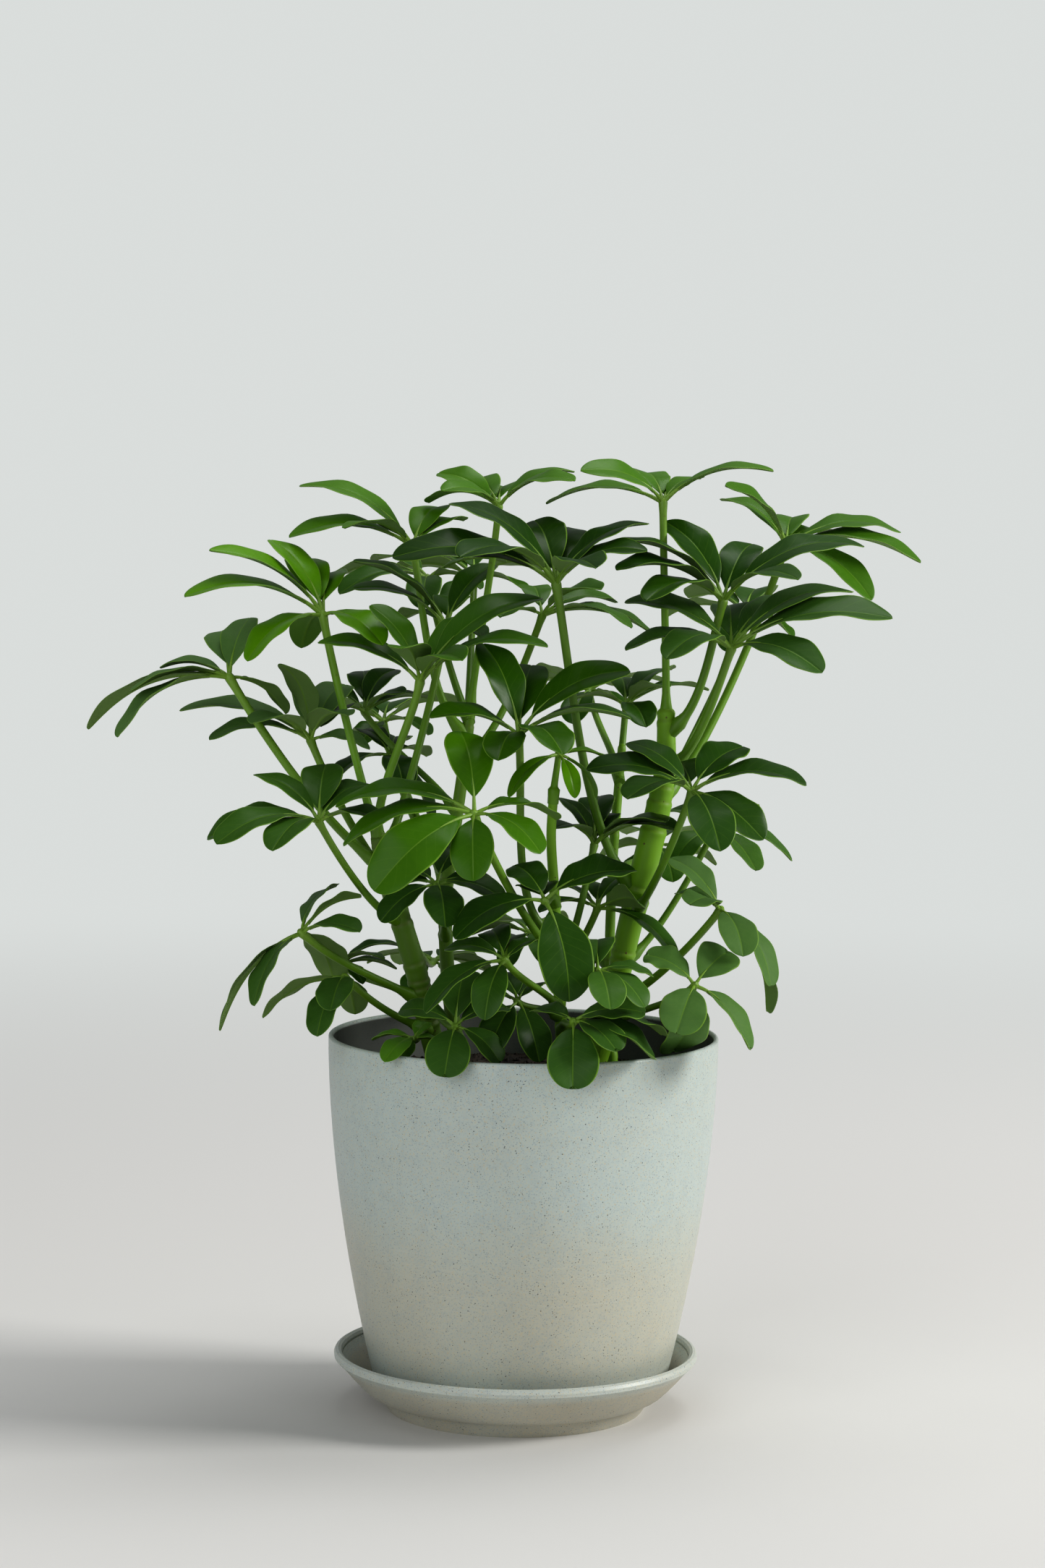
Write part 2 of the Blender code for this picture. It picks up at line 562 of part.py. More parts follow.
def pot_profile():
    """The pot from its inner floor up over the rounded rim and down to the middle of its base."""
    base = pot_radius(POT_BASE)
    return [
        *((pot_radius(z) - POT_WALL, z) for z in (POT_BASE + POT_FLOOR, *WALL_HEIGHTS, SOIL_TOP)),
        (RIM_RADIUS - POT_WALL, RIM_HEIGHT - 0.8),
        (RIM_RADIUS - POT_WALL / 2, RIM_HEIGHT),
        (RIM_RADIUS, RIM_HEIGHT - 0.8),
        *((pot_radius(z), z) for z in (SOIL_TOP, *WALL_HEIGHTS[::-1], POT_BASE + POT_BASE_ROUND)),
        (base - POT_BASE_ROUND * 0.35, POT_BASE + POT_BASE_ROUND * 0.3),
        (base - POT_BASE_ROUND, POT_BASE),
    ]


def turned(profile):
    """Points and faces of a round body from (radius, height) pairs, with a flat face at each end."""
    return rings_to_mesh([
        [direction(360.0 * step / ROUND_STEPS, 0.0) * radius + Vector((0, 0, height))
         for step in range(ROUND_STEPS)]
        for radius, height in profile
    ])


def make_pot(material):
    """The tapered pot: a thin wall with a rounded rim, a rounded foot and small drain holes."""
    pot = mesh_object("pot", *turned(pot_profile()), material)
    drains = []
    for hole in range(DRAIN_HOLES):
        place = direction(360.0 * hole / DRAIN_HOLES, 0.0) * DRAIN_CIRCLE
        path = [place + Vector((0, 0, z)) for z in (POT_BASE - POT_FLOOR, POT_BASE + 2 * POT_FLOOR)]
        drains.append(mesh_object("drain", *tube(path, [DRAIN_RADIUS] * 2, DRAIN_SIDES), material))
    cut(pot, drains)
    return pot


def make_soil(material):
    """The soil: it fills the pot to its wall, with a low uneven top and a plain hole for each stem."""
    floor = POT_BASE + POT_FLOOR + GAP
    draw = random.Random(SEED)
    sides = [(pot_radius(z) - POT_WALL - GAP, z) for z in (floor, *WALL_HEIGHTS, SOIL_TOP)]
    tops = [(radius, SOIL_TOP - SOIL_DIP) for radius in SOIL_RINGS]
    verts, faces = turned([*sides, *tops])
    for vert in verts[len(sides) * ROUND_STEPS:]:
        vert.z += draw.uniform(-SOIL_LUMP, SOIL_LUMP)
    soil = mesh_object("soil", verts, faces, material)
    holes = []
    for stem in STEMS.values():
        x, y, bottom, radius = stem[0]
        path = [Vector((x, y, bottom - GAP)), Vector((x, y, SOIL_TOP + HOLE_OVERRUN))]
        holes.append(mesh_object("hole", *tube(path, [radius + GAP] * 2, STEM_SIDES), material))
    cut(soil, holes)
    return soil


def stem_body(stem):
    """One stem, with its root end straight down in the soil."""
    path = [Vector(stem[0]), *smooth_path(stem[1:], 2 * len(stem) - 6)]
    return tube([point.xyz for point in path], [point.w for point in path], STEM_SIDES)


def make_leaf(name, pieces, material):
    """One compound leaf: its stalk, hub and leaflets, fused."""
    stalk, *others = [mesh_object(f"leaf_{name}", *piece, material, smooth=False) for piece in pieces]
    join(stalk, others)
    return stalk


def main():
    for obj in list(bpy.data.objects):
        bpy.data.objects.remove(obj)
    pot_finish = finish_material("speckled_pot", (0.62, 0.65, 0.61), 0.45)
    saucer_finish = finish_material("speckled_saucer", (0.55, 0.54, 0.48), 0.4)
    earth = finish_material("soil", (0.035, 0.025, 0.018), 0.95)
    green_stem = finish_material("stem_green", (0.16, 0.26, 0.04), 0.5)
    leaf_green = finish_material("leaf_green", (0.05, 0.16, 0.02), 0.4)
    saucer = mesh_object("saucer", *turned(SAUCER_PROFILE), saucer_finish)
    saucer.location.x = SAUCER_OFFSET * MM
    made = [saucer, make_pot(pot_finish), make_soil(earth)]
    made += [
        mesh_object(f"stem_{name}", *stem_body(stem), green_stem) for name, stem in STEMS.items()
    ]
    made += [make_leaf(name, pieces, leaf_green) for name, pieces in grow().items()]
    plant = bpy.data.objects.new("potted_umbrella_plant", None)
    bpy.context.scene.collection.objects.link(plant)
    for obj in made:
        obj.parent = plant


if __name__ == "__main__":
    main()
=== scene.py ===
"""The looks of a potted umbrella plant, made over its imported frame.

Lengths in the plant's tables are in millimetres and angles in degrees. The frame's origin lies under
the pot's axis on the surface that the saucer stands on, with +Z up and the viewer on the -Y side.
"""

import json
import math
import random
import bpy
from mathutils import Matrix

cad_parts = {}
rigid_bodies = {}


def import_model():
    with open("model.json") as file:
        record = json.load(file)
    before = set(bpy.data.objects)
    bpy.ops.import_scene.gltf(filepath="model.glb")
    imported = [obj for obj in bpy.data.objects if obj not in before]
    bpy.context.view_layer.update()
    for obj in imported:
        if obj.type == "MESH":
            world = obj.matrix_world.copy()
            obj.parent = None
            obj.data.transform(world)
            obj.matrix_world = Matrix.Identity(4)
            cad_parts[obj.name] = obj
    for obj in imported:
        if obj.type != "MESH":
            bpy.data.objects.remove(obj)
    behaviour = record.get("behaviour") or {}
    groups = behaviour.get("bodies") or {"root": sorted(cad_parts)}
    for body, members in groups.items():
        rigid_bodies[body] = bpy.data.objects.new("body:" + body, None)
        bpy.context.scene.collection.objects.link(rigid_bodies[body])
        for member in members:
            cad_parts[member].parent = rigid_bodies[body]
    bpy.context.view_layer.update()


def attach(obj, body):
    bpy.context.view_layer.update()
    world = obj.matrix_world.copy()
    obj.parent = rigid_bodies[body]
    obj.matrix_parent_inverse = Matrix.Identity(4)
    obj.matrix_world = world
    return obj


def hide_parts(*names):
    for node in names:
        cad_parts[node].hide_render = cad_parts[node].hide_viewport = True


bl_info = {
    "name": "Potted umbrella plant",
    "version": (1, 0, 0),
    "blender": (4, 5, 0),
    "location": "3D View > Sidebar > Umbrella plant",
    "description": "Grows the leaves, stems, soil, pot and saucer of a potted umbrella plant",
    "category": "Object",
}

from typing import NamedTuple

import bmesh
import bpy
import numpy as np
from bpy.props import FloatProperty, FloatVectorProperty, PointerProperty
from mathutils import Matrix, Vector, noise
from mathutils.bvhtree import BVHTree

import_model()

MM = 0.001
GAP = 0.3

# Camera, found from the pot's ellipses in the photograph: place, pitch down, roll, lens and sensor
CAMERA_PLACE = (-1.9, -1789.5, 447.3)
CAMERA_PITCH = 4.506
CAMERA_ROLL = 0.651
CAMERA_LENS = 85.0
CAMERA_SENSOR = 36.0

# Lights in metres: what they are turned to, then each one's place, its side and its tint
LIT_PLACE = (0.0, 0.0, 0.25)
KEY_LIGHT = ((3.16, -0.33, 1.7), 1.1, (1.0, 0.99, 0.97))
FILL_LIGHT = ((-1.6, -2.9, 1.5), 2.6, (0.95, 0.98, 1.0))
TOP_LIGHT = ((0.5, 0.6, 3.2), 1.6, (1.0, 1.0, 1.0))

# Sides of the frame's round bodies
ROUND_STEPS = 32

# Pot: its outer radius falls off from the rim as TAPER * (depth below the rim) ** TAPER_POWER
RIM_HEIGHT = 184.0
RIM_RADIUS = 95.0
TAPER = 0.00227
TAPER_POWER = 1.8
POT_WALL = 2.4
POT_BASE = 11.3
POT_FLOOR = 3.0
POT_BASE_ROUND = 3.0
RIM_ROUND = 0.8
WALL_HEIGHTS = (60.0, 120.0)
DRAIN_HOLES = 5
DRAIN_RADIUS = 2.5
DRAIN_CIRCLE = 42.0

# Saucer: a foot ring, a ledge that carries the pot over a shallow well, a flared wall and a beaded lip
SAUCER_OFFSET = -2.2
FOOT_RADIUS = 62.5
FOOT_TOP_RADIUS = 66.0
FOOT_HEIGHT = 7.0
WELL_RADIUS = 60.2
WELL_FLOOR = 2.8
LEDGE_HEIGHT = POT_BASE - GAP
LEDGE_INNER = 63.6
LEDGE_OUTER = 71.7
LIP_RADIUS = 88.9
LIP_BOTTOM = 24.1
LIP_TOP = 29.0
LIP_INNER = 85.0
LIP_MIDDLE = (LIP_TOP + LIP_BOTTOM) / 2
LIP_INNER_FOOT = LIP_INNER - 1.2
LIP_CREST = LIP_INNER + 1.6
LIP_ROUND = 0.8
LIP_SLOPE = 0.9
LIP_UNDERCUT = 0.2
# Places on the outside of the flared wall, as (radius, height)
WALL_UPPER = (80.0, 16.0)
WALL_LOWER = (72.4, 8.8)

SAUCER_PROFILE = (
    (WELL_RADIUS, WELL_FLOOR), (LEDGE_INNER, LEDGE_HEIGHT), (LEDGE_OUTER, LEDGE_HEIGHT),
    (LIP_INNER_FOOT, LIP_BOTTOM), (LIP_INNER, LIP_TOP - LIP_ROUND), (LIP_CREST, LIP_TOP),
    (LIP_RADIUS - LIP_ROUND, LIP_TOP - LIP_SLOPE), (LIP_RADIUS, LIP_MIDDLE),
    (LIP_RADIUS - LIP_ROUND / 2, LIP_BOTTOM + LIP_ROUND / 2),
    (LIP_RADIUS - 2 * LIP_ROUND, LIP_BOTTOM - LIP_UNDERCUT),
    WALL_UPPER, WALL_LOWER, (FOOT_TOP_RADIUS, FOOT_HEIGHT), (FOOT_RADIUS, 0.0),
)

# Soil
SOIL_TOP = 161.0
SOIL_DIP = 3.0
SOIL_REACH = 80.0
ROOT_END = 112.0
STEM_SIDES = 8
STEM_PATH_STEPS = 60

# Leaves
PETIOLE_RADIUS = 1.3
PETIOLE_PER_LENGTH = 0.012
PETIOLE_SIDES = 4
PETIOLE_STEPS = 4
FOOT_SWELL = 1.4
NECK_SWELL = 1.1
# How steeply a stalk leaves its stem, how much it nods to its leaf's face, and how far each end bends it
FOOT_RISE = 0.9
FACE_SHARE = 0.25
FOOT_BEND = 0.25
HUB_BEND = 0.3
HUB_RADIUS = 3.2
HUB_HEIGHT = 5.0
HUB_SIDES = 5
HUB_END_SHARE = 0.4
BLADE_THICKNESS = 0.9
BLADE_WIDTH = 8.0
BLADE_WIDTH_PER_LENGTH = 0.25
ARCH = 0.13
SAG = 0.10
STALK_WIDTH = 1.4
# A leaflet that points almost straight out of its leaf's face takes its side from its own rise instead
LEAST_SIDE = 0.2
# Places along a leaflet, from hub to tip, and its width there as a share of its widest
LONG_OUTLINE = ((0.0, 0.0), (0.17, 0.0), (0.42, 0.84), (0.74, 0.94), (1.0, 0.2))
SHORT_OUTLINE = ((0.0, 0.0), (0.2, 0.0), (0.6, 1.0), (1.0, 0.3))
LONG_FROM = 48
SEED = 11
TWIST = 7.0

# Room kept round a stalk and a leaflet while the plant grows, and how far either gives way for it
STALK_ROOM = 0.8
BLADE_ROOM = 0.9
STALK_TURNS = (0, 15, -15, 30, -30, 50, -50, 75, -75, 100, -100)
STALK_RISES = (0, 4, -4, 8, -8, 12, -12)
BLADE_TURNS = (0, 6, -6, 12, -12, 18, -18, 26, -26, 36, -36)
BLADE_SHARES = (1.0, 0.9, 0.8, 0.7, 0.6)
TURN_COST_OF_LENGTH = 90


# Each stem from its root end up, as points of (x, y, z, radius)
STEMS = {
    "left": ((-42, -2, ROOT_END, 5.4), (-42, -2, 172, 5.4), (-47, -8, 192, 5.4), (-52, -13, 215, 5.4),
             (-59, -18, 239, 5.2), (-65, -22, 258, 4.8), (-70, -26, 281, 4.2)),
    "right": ((34, 7, ROOT_END, 5.8), (34, 7, 166, 5.8), (39, 6, 183, 5.8), (45, 3, 208, 5.7),
              (50, 0, 233, 5.9), (57, -3, 264, 6.4), (63, -5, 291, 6.2), (67, -6, 316, 5.0),
              (67, -6, 342, 4.2)),
    "centre": ((20, -31, ROOT_END, 3.0), (20, -31, 170, 3.0), (18, -34, 191, 2.9), (16, -37, 221, 2.7),
               (14, -40, 255, 2.5), (12, -42, 284, 2.3), (13, -44, 307, 2.2)),
    "back": ((44, 26, ROOT_END, 2.8), (44, 26, 170, 2.8), (42, 27, 184, 2.7), (42, 28, 220, 2.5),
             (43, 31, 263, 2.4), (45, 34, 295, 2.3), (47, 38, 321, 2.1)),
    "inner": ((-31, 13, ROOT_END, 3.7), (-31, 13, 172, 3.7), (-35, 14, 190, 3.6), (-38, 15, 217, 3.5),
              (-39, 18, 249, 3.3), (-35, 22, 281, 3.1), (-31, 25, 312, 2.9), (-28, 28, 341, 2.6)),
}


class Leaf(NamedTuple):
    """A compound leaf: the stem it grows from and the height there, the hub where its leaflets meet,
    the way its face leans from straight up as (bearing, degrees), how broad its leaflets are, and the
    leaflets as (bearing, rise, length), with a fourth number where a leaflet is also turned about its
    own length. Bearings go round from +X towards +Y."""

    stem: str
    height: float
    hub: tuple
    lean: tuple
    breadth: float
    leaflets: tuple


LEAVES = {
    "front_big": Leaf("centre", 255, (9, -78, 258), (270, 15), 1.35, (
        (310, -65, 49), (195, -20, 46), (15, 18, 46), (100, 7, 29), (130, 7, 27))),
    "middle": Leaf("centre", 240, (-4, -52, 333), (270, 12), 1.1, (
        (200, 13, 45), (140, 62, 49), (80, 41, 49), (15, 31, 62), (345, 11, 55), (295, -3, 51),
        (255, -12, 40))),
    "mid_left": Leaf("left", 282, (-51, -38, 357), (270, 12), 1.0, (
        (165, 19, 54), (160, 55, 44), (45, 36, 54), (20, 23, 73), (350, 13, 65), (295, 17, 49),
        (260, 22, 48))),
    "upper_middle": Leaf("right", 256, (13, -34, 404), (270, 14), 1.1, (
        (170, 37, 64), (190, 9, 79), (225, 8, 66), (105, 39, 48), (85, 34, 56), (20, 33, 55),
        (345, 29, 47), (290, 11, 52))),
    "upper_right": Leaf("right", 337, (93, -16, 396), (270, 14), 1.0, (
        (196, 36, 60), (140, 41, 52), (212, 23, 62), (230, 10, 60), (65, 37, 47), (15, 23, 76, 8),
        (310, 15, 54))),
    "mid_right": Leaf("right", 319, (97, -24, 374), (270, 10), 1.0, (
        (170, 24, 56), (195, 0, 53), (235, -1, 55), (95, 27, 45), (45, 27, 55), (15, 20, 67, 6),
        (350, 11, 78, 6), (320, -9, 54, 15))),
    "front_left": Leaf("centre", 231, (-24, -90, 299), (270, 12), 1.2, (
        (165, 2, 67), (185, -12, 62), (210, -24, 61, -28), (105, 62, 45), (270, -47, 38), (325, -21, 40),
        (25, -2, 43))),
    "front_right": Leaf("right", 250, (78, -46, 307), (280, 12), 1.2, (
        (185, 12, 51), (155, 27, 40), (100, 21, 37), (45, 30, 41), (5, 12, 55), (330, -29, 43, 20),
        (290, -39, 44), (230, 0, 48))),
    "far_right": Leaf("right", 305, (127, 45, 422), (270, 8), 1.0, (
        (205, 43, 45), (145, 34, 44), (80, 21, 41), (55, 16, 38), (15, 7, 61), (355, -6, 67),
        (330, -28, 53))),
    "top_right": Leaf("right", 342, (64, -8, 443), (270, 10), 1.0, (
        (205, 20, 46, -20), (165, -1, 58), (105, 21, 40), (75, 17, 43), (45, 24, 30), (355, 17, 55))),
    "top_middle": Leaf("inner", 341, (-15, 18, 440), (250, 10), 1.0, (
        (160, 28, 36, -20), (220, 13, 37, -20), (135, 2, 50), (85, 10, 45), (15, 27, 42), (330, 19, 44),
        (110, 18, 42))),
    "young_left": Leaf("left", 279, (-99, -5, 387), (270, 8), 1.0, (
        (190, 29, 63), (145, 41, 49), (200, 9, 69), (110, 32, 52), (90, 30, 51), (220, -23, 49),
        (310, -15, 49), (110, -23, 40))),
    "top_left": Leaf("inner", 331, (-57, 28, 420), (270, 12), 1.0, (
        (190, 5, 61), (170, 29, 64), (225, 6, 47), (70, 30, 42), (50, 25, 41), (315, -5, 43))),
    "far_left": Leaf("left", 272, (-143, -15, 357), (200, 6), 1.0, (
        (165, 8, 36), (205, -7, 50), (175, -19, 74), (210, -22, 65), (100, 30, 45), (75, 38, 40),
        (40, -27, 38))),
    "lower_left": Leaf("left", 246, (-97, -62, 292), (250, 10), 1.1, (
        (155, 32, 40), (90, 36, 42), (175, -9, 54), (210, -13, 54), (245, -12, 47), (330, 12, 35),
        (50, 26, 38))),
    "left_shaded": Leaf("left", 267, (-105, 4, 326), (270, 8), 1.0, (
        (240, 57, 46), (170, 23, 67), (195, 9, 50), (225, 2, 48), (315, 21, 44), (350, -5, 29),
        (65, 36, 46), (95, 29, 46))),
    "over_rim_right": Leaf("centre", 193, (23, -88, 203), (270, 20), 1.4, (
        (155, 11, 21), (350, 9, 34), (270, -49, 37), (320, -21, 29), (5, -23, 42), (30, -9, 49))),
    "over_rim_left": Leaf("left", 197, (-32, -74, 198), (270, 20), 1.3, (
        (165, 14, 28), (80, 49, 31), (25, 17, 28), (260, -36, 33), (345, -35, 27))),
    "drooping_left": Leaf("left", 207, (-105, -56, 239), (235, 15), 1.1, (
        (190, -50, 60, 35), (230, -44, 45, 15), (65, -38, 46), (330, 6, 33), (25, 36, 38, -35),
        (60, 34, 36, -35))),
    "drooping_right": Leaf("right", 205, (93, -30, 249), (300, 15), 1.15, (
        (145, 40, 37), (240, 12, 31), (145, 18, 25), (290, -30, 35), (335, -50, 44, -12), (30, -59, 58))),
    "drooping_low_left": Leaf("left", 192, (-85, -40, 216), (240, 15), 1.1, (
        (180, -26, 44, 45), (235, -49, 34), (260, -19, 34), (75, -52, 24))),
    "drooping_low_right": Leaf("right", 191, (80, -62, 217), (290, 25), 1.4, (
        (160, 29, 28), (42, 35, 27, 10), (250, -37, 32), (115, -62, 40), (350, -47, 40, -10))),
    "low_middle": Leaf("centre", 205, (-9, -80, 230), (260, 18), 1.0, (
        (205, -27, 46), (160, 9, 30), (250, -40, 36), (105, 22, 31), (80, 21, 33), (35, 22, 20))),
    "low_right": Leaf("right", 200, (34, -84, 226), (280, 20), 1.1, (
        (90, 23, 30), (5, -4, 26), (320, -19, 31), (280, -28, 34), (135, 14, 17))),
    "rosette": Leaf("left", 190, (-52, -56, 189), (270, 15), 0.8, (
        (170, 1, 20), (245, -14, 29), (245, -40, 12), (60, 27, 15), (10, -1, 12))),
    "inner_low": Leaf("inner", 231, (-42, -50, 262), (270, 15), 1.1, (
        (280, -25, 38), (200, -31, 32), (160, -6, 26), (140, 14, 28), (65, 32, 34), (20, -3, 33),
        (340, -9, 38))),
    "new_shoot": Leaf("centre", 307, (15, -46, 324), (270, 10), 0.6, (
        (305, -52, 24), (15, -39, 28), (205, -32, 34), (30, -11, 33))),
    "inner_left": Leaf("left", 277, (-40, 22, 381), (270, 12), 1.0, (
        (170, 35, 57), (200, 22, 51), (85, 17, 44), (45, 44, 44), (300, -6, 36), (130, 6, 39))),
    "behind_right": Leaf("right", 224, (92, 22, 282), (300, 10), 1.1, (
        (310, -27, 36), (220, -25, 28), (10, -18, 43), (60, 16, 42), (125, 13, 36))),
    "low_dark": Leaf("centre", 200, (-3, -52, 207), (270, 15), 1.1, (
        (235, -42, 32), (300, -51, 33), (195, -3, 25), (115, 27, 25), (30, 18, 22))),
    "small_left": Leaf("left", 203, (-90, 8, 216), (0, 0), 0.7, (
        (25, 16, 33), (320, 11, 29), (10, -5, 28), (305, -17, 21))),
    "centre_dark": Leaf("centre", 224, (33, -12, 278), (270, 8), 1.0, (
        (235, 18, 36), (145, 47, 30), (85, 31, 42), (50, 34, 34), (10, 15, 45), (320, 12, 47))),
    "centre_small": Leaf("centre", 217, (35, -8, 247), (0, 0), 0.9, (
        (150, 20, 29), (85, 15, 35), (300, 9, 40, -60), (335, -9, 49), (35, 17, 30), (235, 8, 32))),
    "upper_inner": Leaf("inner", 320, (7, 58, 386), (270, 8), 1.0, (
        (315, 21, 43), (25, 12, 42), (335, -3, 49), (10, -4, 60), (100, 25, 34), (220, 1, 28))),
    "inner_left_high": Leaf("inner", 281, (-81, 52, 337), (270, 5), 1.0, (
        (95, 29, 39), (60, 32, 35), (325, 25, 27), (155, 25, 28), (15, 11, 36), (240, -5, 40))),
    "inner_left_low": Leaf("inner", 263, (-68, 44, 316), (0, 0), 1.0, (
        (340, -23, 47), (225, -15, 38), (125, 29, 31), (85, 27, 38), (35, 23, 35), (285, -21, 38))),
    "inner_right": Leaf("back", 318, (49, 50, 342), (270, 5), 1.0, (
        (310, 21, 32), (10, 12, 43), (285, -13, 36), (95, 22, 35), (195, 9, 27), (50, 25, 41))),
    "back_top_left": Leaf("inner", 339, (-51, 88, 403), (0, 0), 1.0, (
        (175, -1, 53), (210, -7, 50), (135, 13, 42), (5, 13, 41), (315, -5, 38), (275, -18, 42))),
    "back_top": Leaf("inner", 336, (-28, 118, 403), (90, 12), 1.1, (
        (180, 5, 42), (135, 11, 48), (90, 8, 50), (20, 9, 42), (325, -11, 34), (245, -27, 31))),
    "back_right": Leaf("right", 298, (111, 112, 386), (90, 12), 1.1, (
        (170, -1, 42), (125, 9, 48), (75, 5, 52), (20, 3, 42), (325, -19, 31), (250, -33, 33))),
    "back_left": Leaf("inner", 256, (-74, 118, 328), (90, 12), 1.1, (
        (190, 11, 40), (130, 5, 46), (85, 0, 48), (20, 15, 42), (315, -6, 35), (245, -21, 26))),
    "back_middle": Leaf("back", 313, (32, 125, 345), (90, 12), 1.1, (
        (180, 3, 42), (125, 5, 46), (70, 1, 50), (15, 6, 42), (315, -20, 34), (250, -31, 30))),
    "back_low_left": Leaf("left", 219, (-46, 80, 209), (90, 15), 1.1, (
        (180, -1, 34), (120, -9, 38), (60, -7, 36), (15, -12, 31), (305, -37, 26), (240, -29, 28))),
    "back_low_right": Leaf("back", 256, (67, 112, 266), (90, 15), 1.1, (
        (180, -11, 30), (110, 5, 40), (55, 4, 42), (10, -17, 34), (290, -32, 30), (230, -38, 30))),
    "back_low_middle": Leaf("back", 216, (2, 72, 225), (90, 12), 1.0, (
        (180, -1, 29), (120, 1, 38), (60, 3, 36), (15, -9, 27), (295, -30, 26), (235, -36, 26))),
}


def direction(bearing, rise):
    """The unit vector at a bearing round +Z and a rise above the level."""
    turn, lift = math.radians(bearing), math.radians(rise)
    return Vector((math.cos(turn) * math.cos(lift), math.sin(turn) * math.cos(lift), math.sin(lift)))


def facing(lean):
    """The way a leaf's upper face looks: straight up, tipped by lean's degrees towards its bearing."""
    bearing, tilt = lean
    return direction(bearing, 90.0 - tilt)


def ring_faces(rings, size):
    """The faces of a closed tube of this many rings of this size, with a flat face at both ends."""
    faces = [tuple(range(size))[::-1], tuple(range((rings - 1) * size, rings * size))]
    for ring in range(rings - 1):
        for side in range(size):
            a, b = ring * size + side, ring * size + (side + 1) % size
            faces.append((a, b, b + size, a + size))
    return faces


def rings_to_mesh(rings):
    """Points and faces of a closed tube through rings of equal size."""
    return [point for ring in rings for point in ring], ring_faces(len(rings), len(rings[0]))


def smooth_path(points, count):
    """count + 1 points evenly spaced by parameter on the smooth curve through the given points."""
    points = [Vector(p) for p in points]
    ends = [2 * points[0] - points[1], *points, 2 * points[-1] - points[-2]]
    path = []
    for step in range(count + 1):
        place = min(step * (len(points) - 1) / count, len(points) - 1 - 1e-9)
        first = int(place)
        t = place - first
        a, b, c, d = ends[first:first + 4]
        path.append(0.5 * (2 * b + (c - a) * t + (2 * a - 5 * b + 4 * c - d) * t ** 2
                           + (3 * b - a - 3 * c + d) * t ** 3))
    return path


def tube(path, radii, sides):
    """A tube of round section along a path, its ring turned as little as it can be from point to point."""
    across = (path[1] - path[0]).orthogonal().normalized()
    rings = []
    for index, point in enumerate(path):
        along = (path[min(index + 1, len(path) - 1)] - path[max(index - 1, 0)]).normalized()
        across = (across - along * across.dot(along)).normalized()
        other = along.cross(across)
        rings.append([
            point + radii[index] * (across * math.cos(turn) + other * math.sin(turn))
            for turn in (2 * math.pi * side / sides for side in range(sides))
        ])
    return rings_to_mesh(rings)


def stem_at(stem, height):
    """The middle of a stem, its direction and its radius at a height."""
    path = smooth_path(stem, STEM_PATH_STEPS)
    for below, above in zip(path, path[1:]):
        if below.z <= height <= above.z:
            break
    share = min((height - below.z) / (above.z - below.z), 1.0)
    middle = below.lerp(above, share)
    return middle.xyz, (above - below).xyz.normalized(), middle.w


def petiole_radii(leaf):
    """Thicker where the stalk clasps the stem; a leaf with long leaflets has a stouter one."""
    thin = PETIOLE_RADIUS + PETIOLE_PER_LENGTH * max(leaflet[2] for leaflet in leaf.leaflets)
    return [thin * FOOT_SWELL, thin * NECK_SWELL] + [thin] * (PETIOLE_STEPS - 1)


def petiole_curve(leaf, turn, rise, closer=0.0):
    """The four points that bend a leaf's stalk from its stem to the hub, its foot moved by these."""
    stem = STEMS[leaf.stem]
    middle, up, stem_radius = stem_at(stem, leaf.height + rise)
    hub = Vector(leaf.hub)
    foot_radius = petiole_radii(leaf)[0]
    out = hub - middle
    reach = out.length
    if leaf.height >= stem[-1][2]:
        start, first = middle + up * (foot_radius - closer), up
    else:
        out = Matrix.Rotation(math.radians(turn), 3, up) @ (out - up * out.dot(up)).normalized()
        first = (out + up * FOOT_RISE).normalized()
        start = middle + out * (stem_radius + 2 * foot_radius - closer)
    last = ((1 - FACE_SHARE) * (hub - start).normalized() + FACE_SHARE * facing(leaf.lean)).normalized()
    return start, start + first * reach * FOOT_BEND, hub - last * reach * HUB_BEND, hub


def bezier(bends, count):
    """count + 1 points along the curve that four points bend."""
    start, bend_a, bend_b, end = bends
    path = []
    for step in range(count + 1):
        t = step / count
        path.append(start * (1 - t) ** 3 + 3 * bend_a * t * (1 - t) ** 2
                    + 3 * bend_b * t ** 2 * (1 - t) + end * t ** 3)
    return path


def petiole(leaf, turn, rise, closer=0.0, room=0.0):
    """The leaf's stalk as the frame has it, with its foot moved round, up and closer to the stem."""
    path = bezier(petiole_curve(leaf, turn, rise, closer), PETIOLE_STEPS)
    return tube(path, [radius + room for radius in petiole_radii(leaf)], PETIOLE_SIDES)


def hub_knob(leaf):
    """The small knob that a leaf's stalk and leaflets meet in."""
    hub, up = Vector(leaf.hub), facing(leaf.lean)
    path = [hub + up * HUB_HEIGHT * share for share in (-0.5, 0.0, 0.5)]
    return tube(path, [HUB_RADIUS * HUB_END_SHARE, HUB_RADIUS, HUB_RADIUS * HUB_END_SHARE], HUB_SIDES)


def leaflet_ways(leaf, bearing, rise, twist):
    """The directions along a leaflet, to its side and up from its face."""
    along = direction(bearing, rise)
    side = along.cross(facing(leaf.lean))
    if side.length < LEAST_SIDE:
        side = along.cross(direction(bearing, rise - 90))
    side = Matrix.Rotation(math.radians(twist), 3, along) @ side.normalized()
    return along, side, side.cross(along)


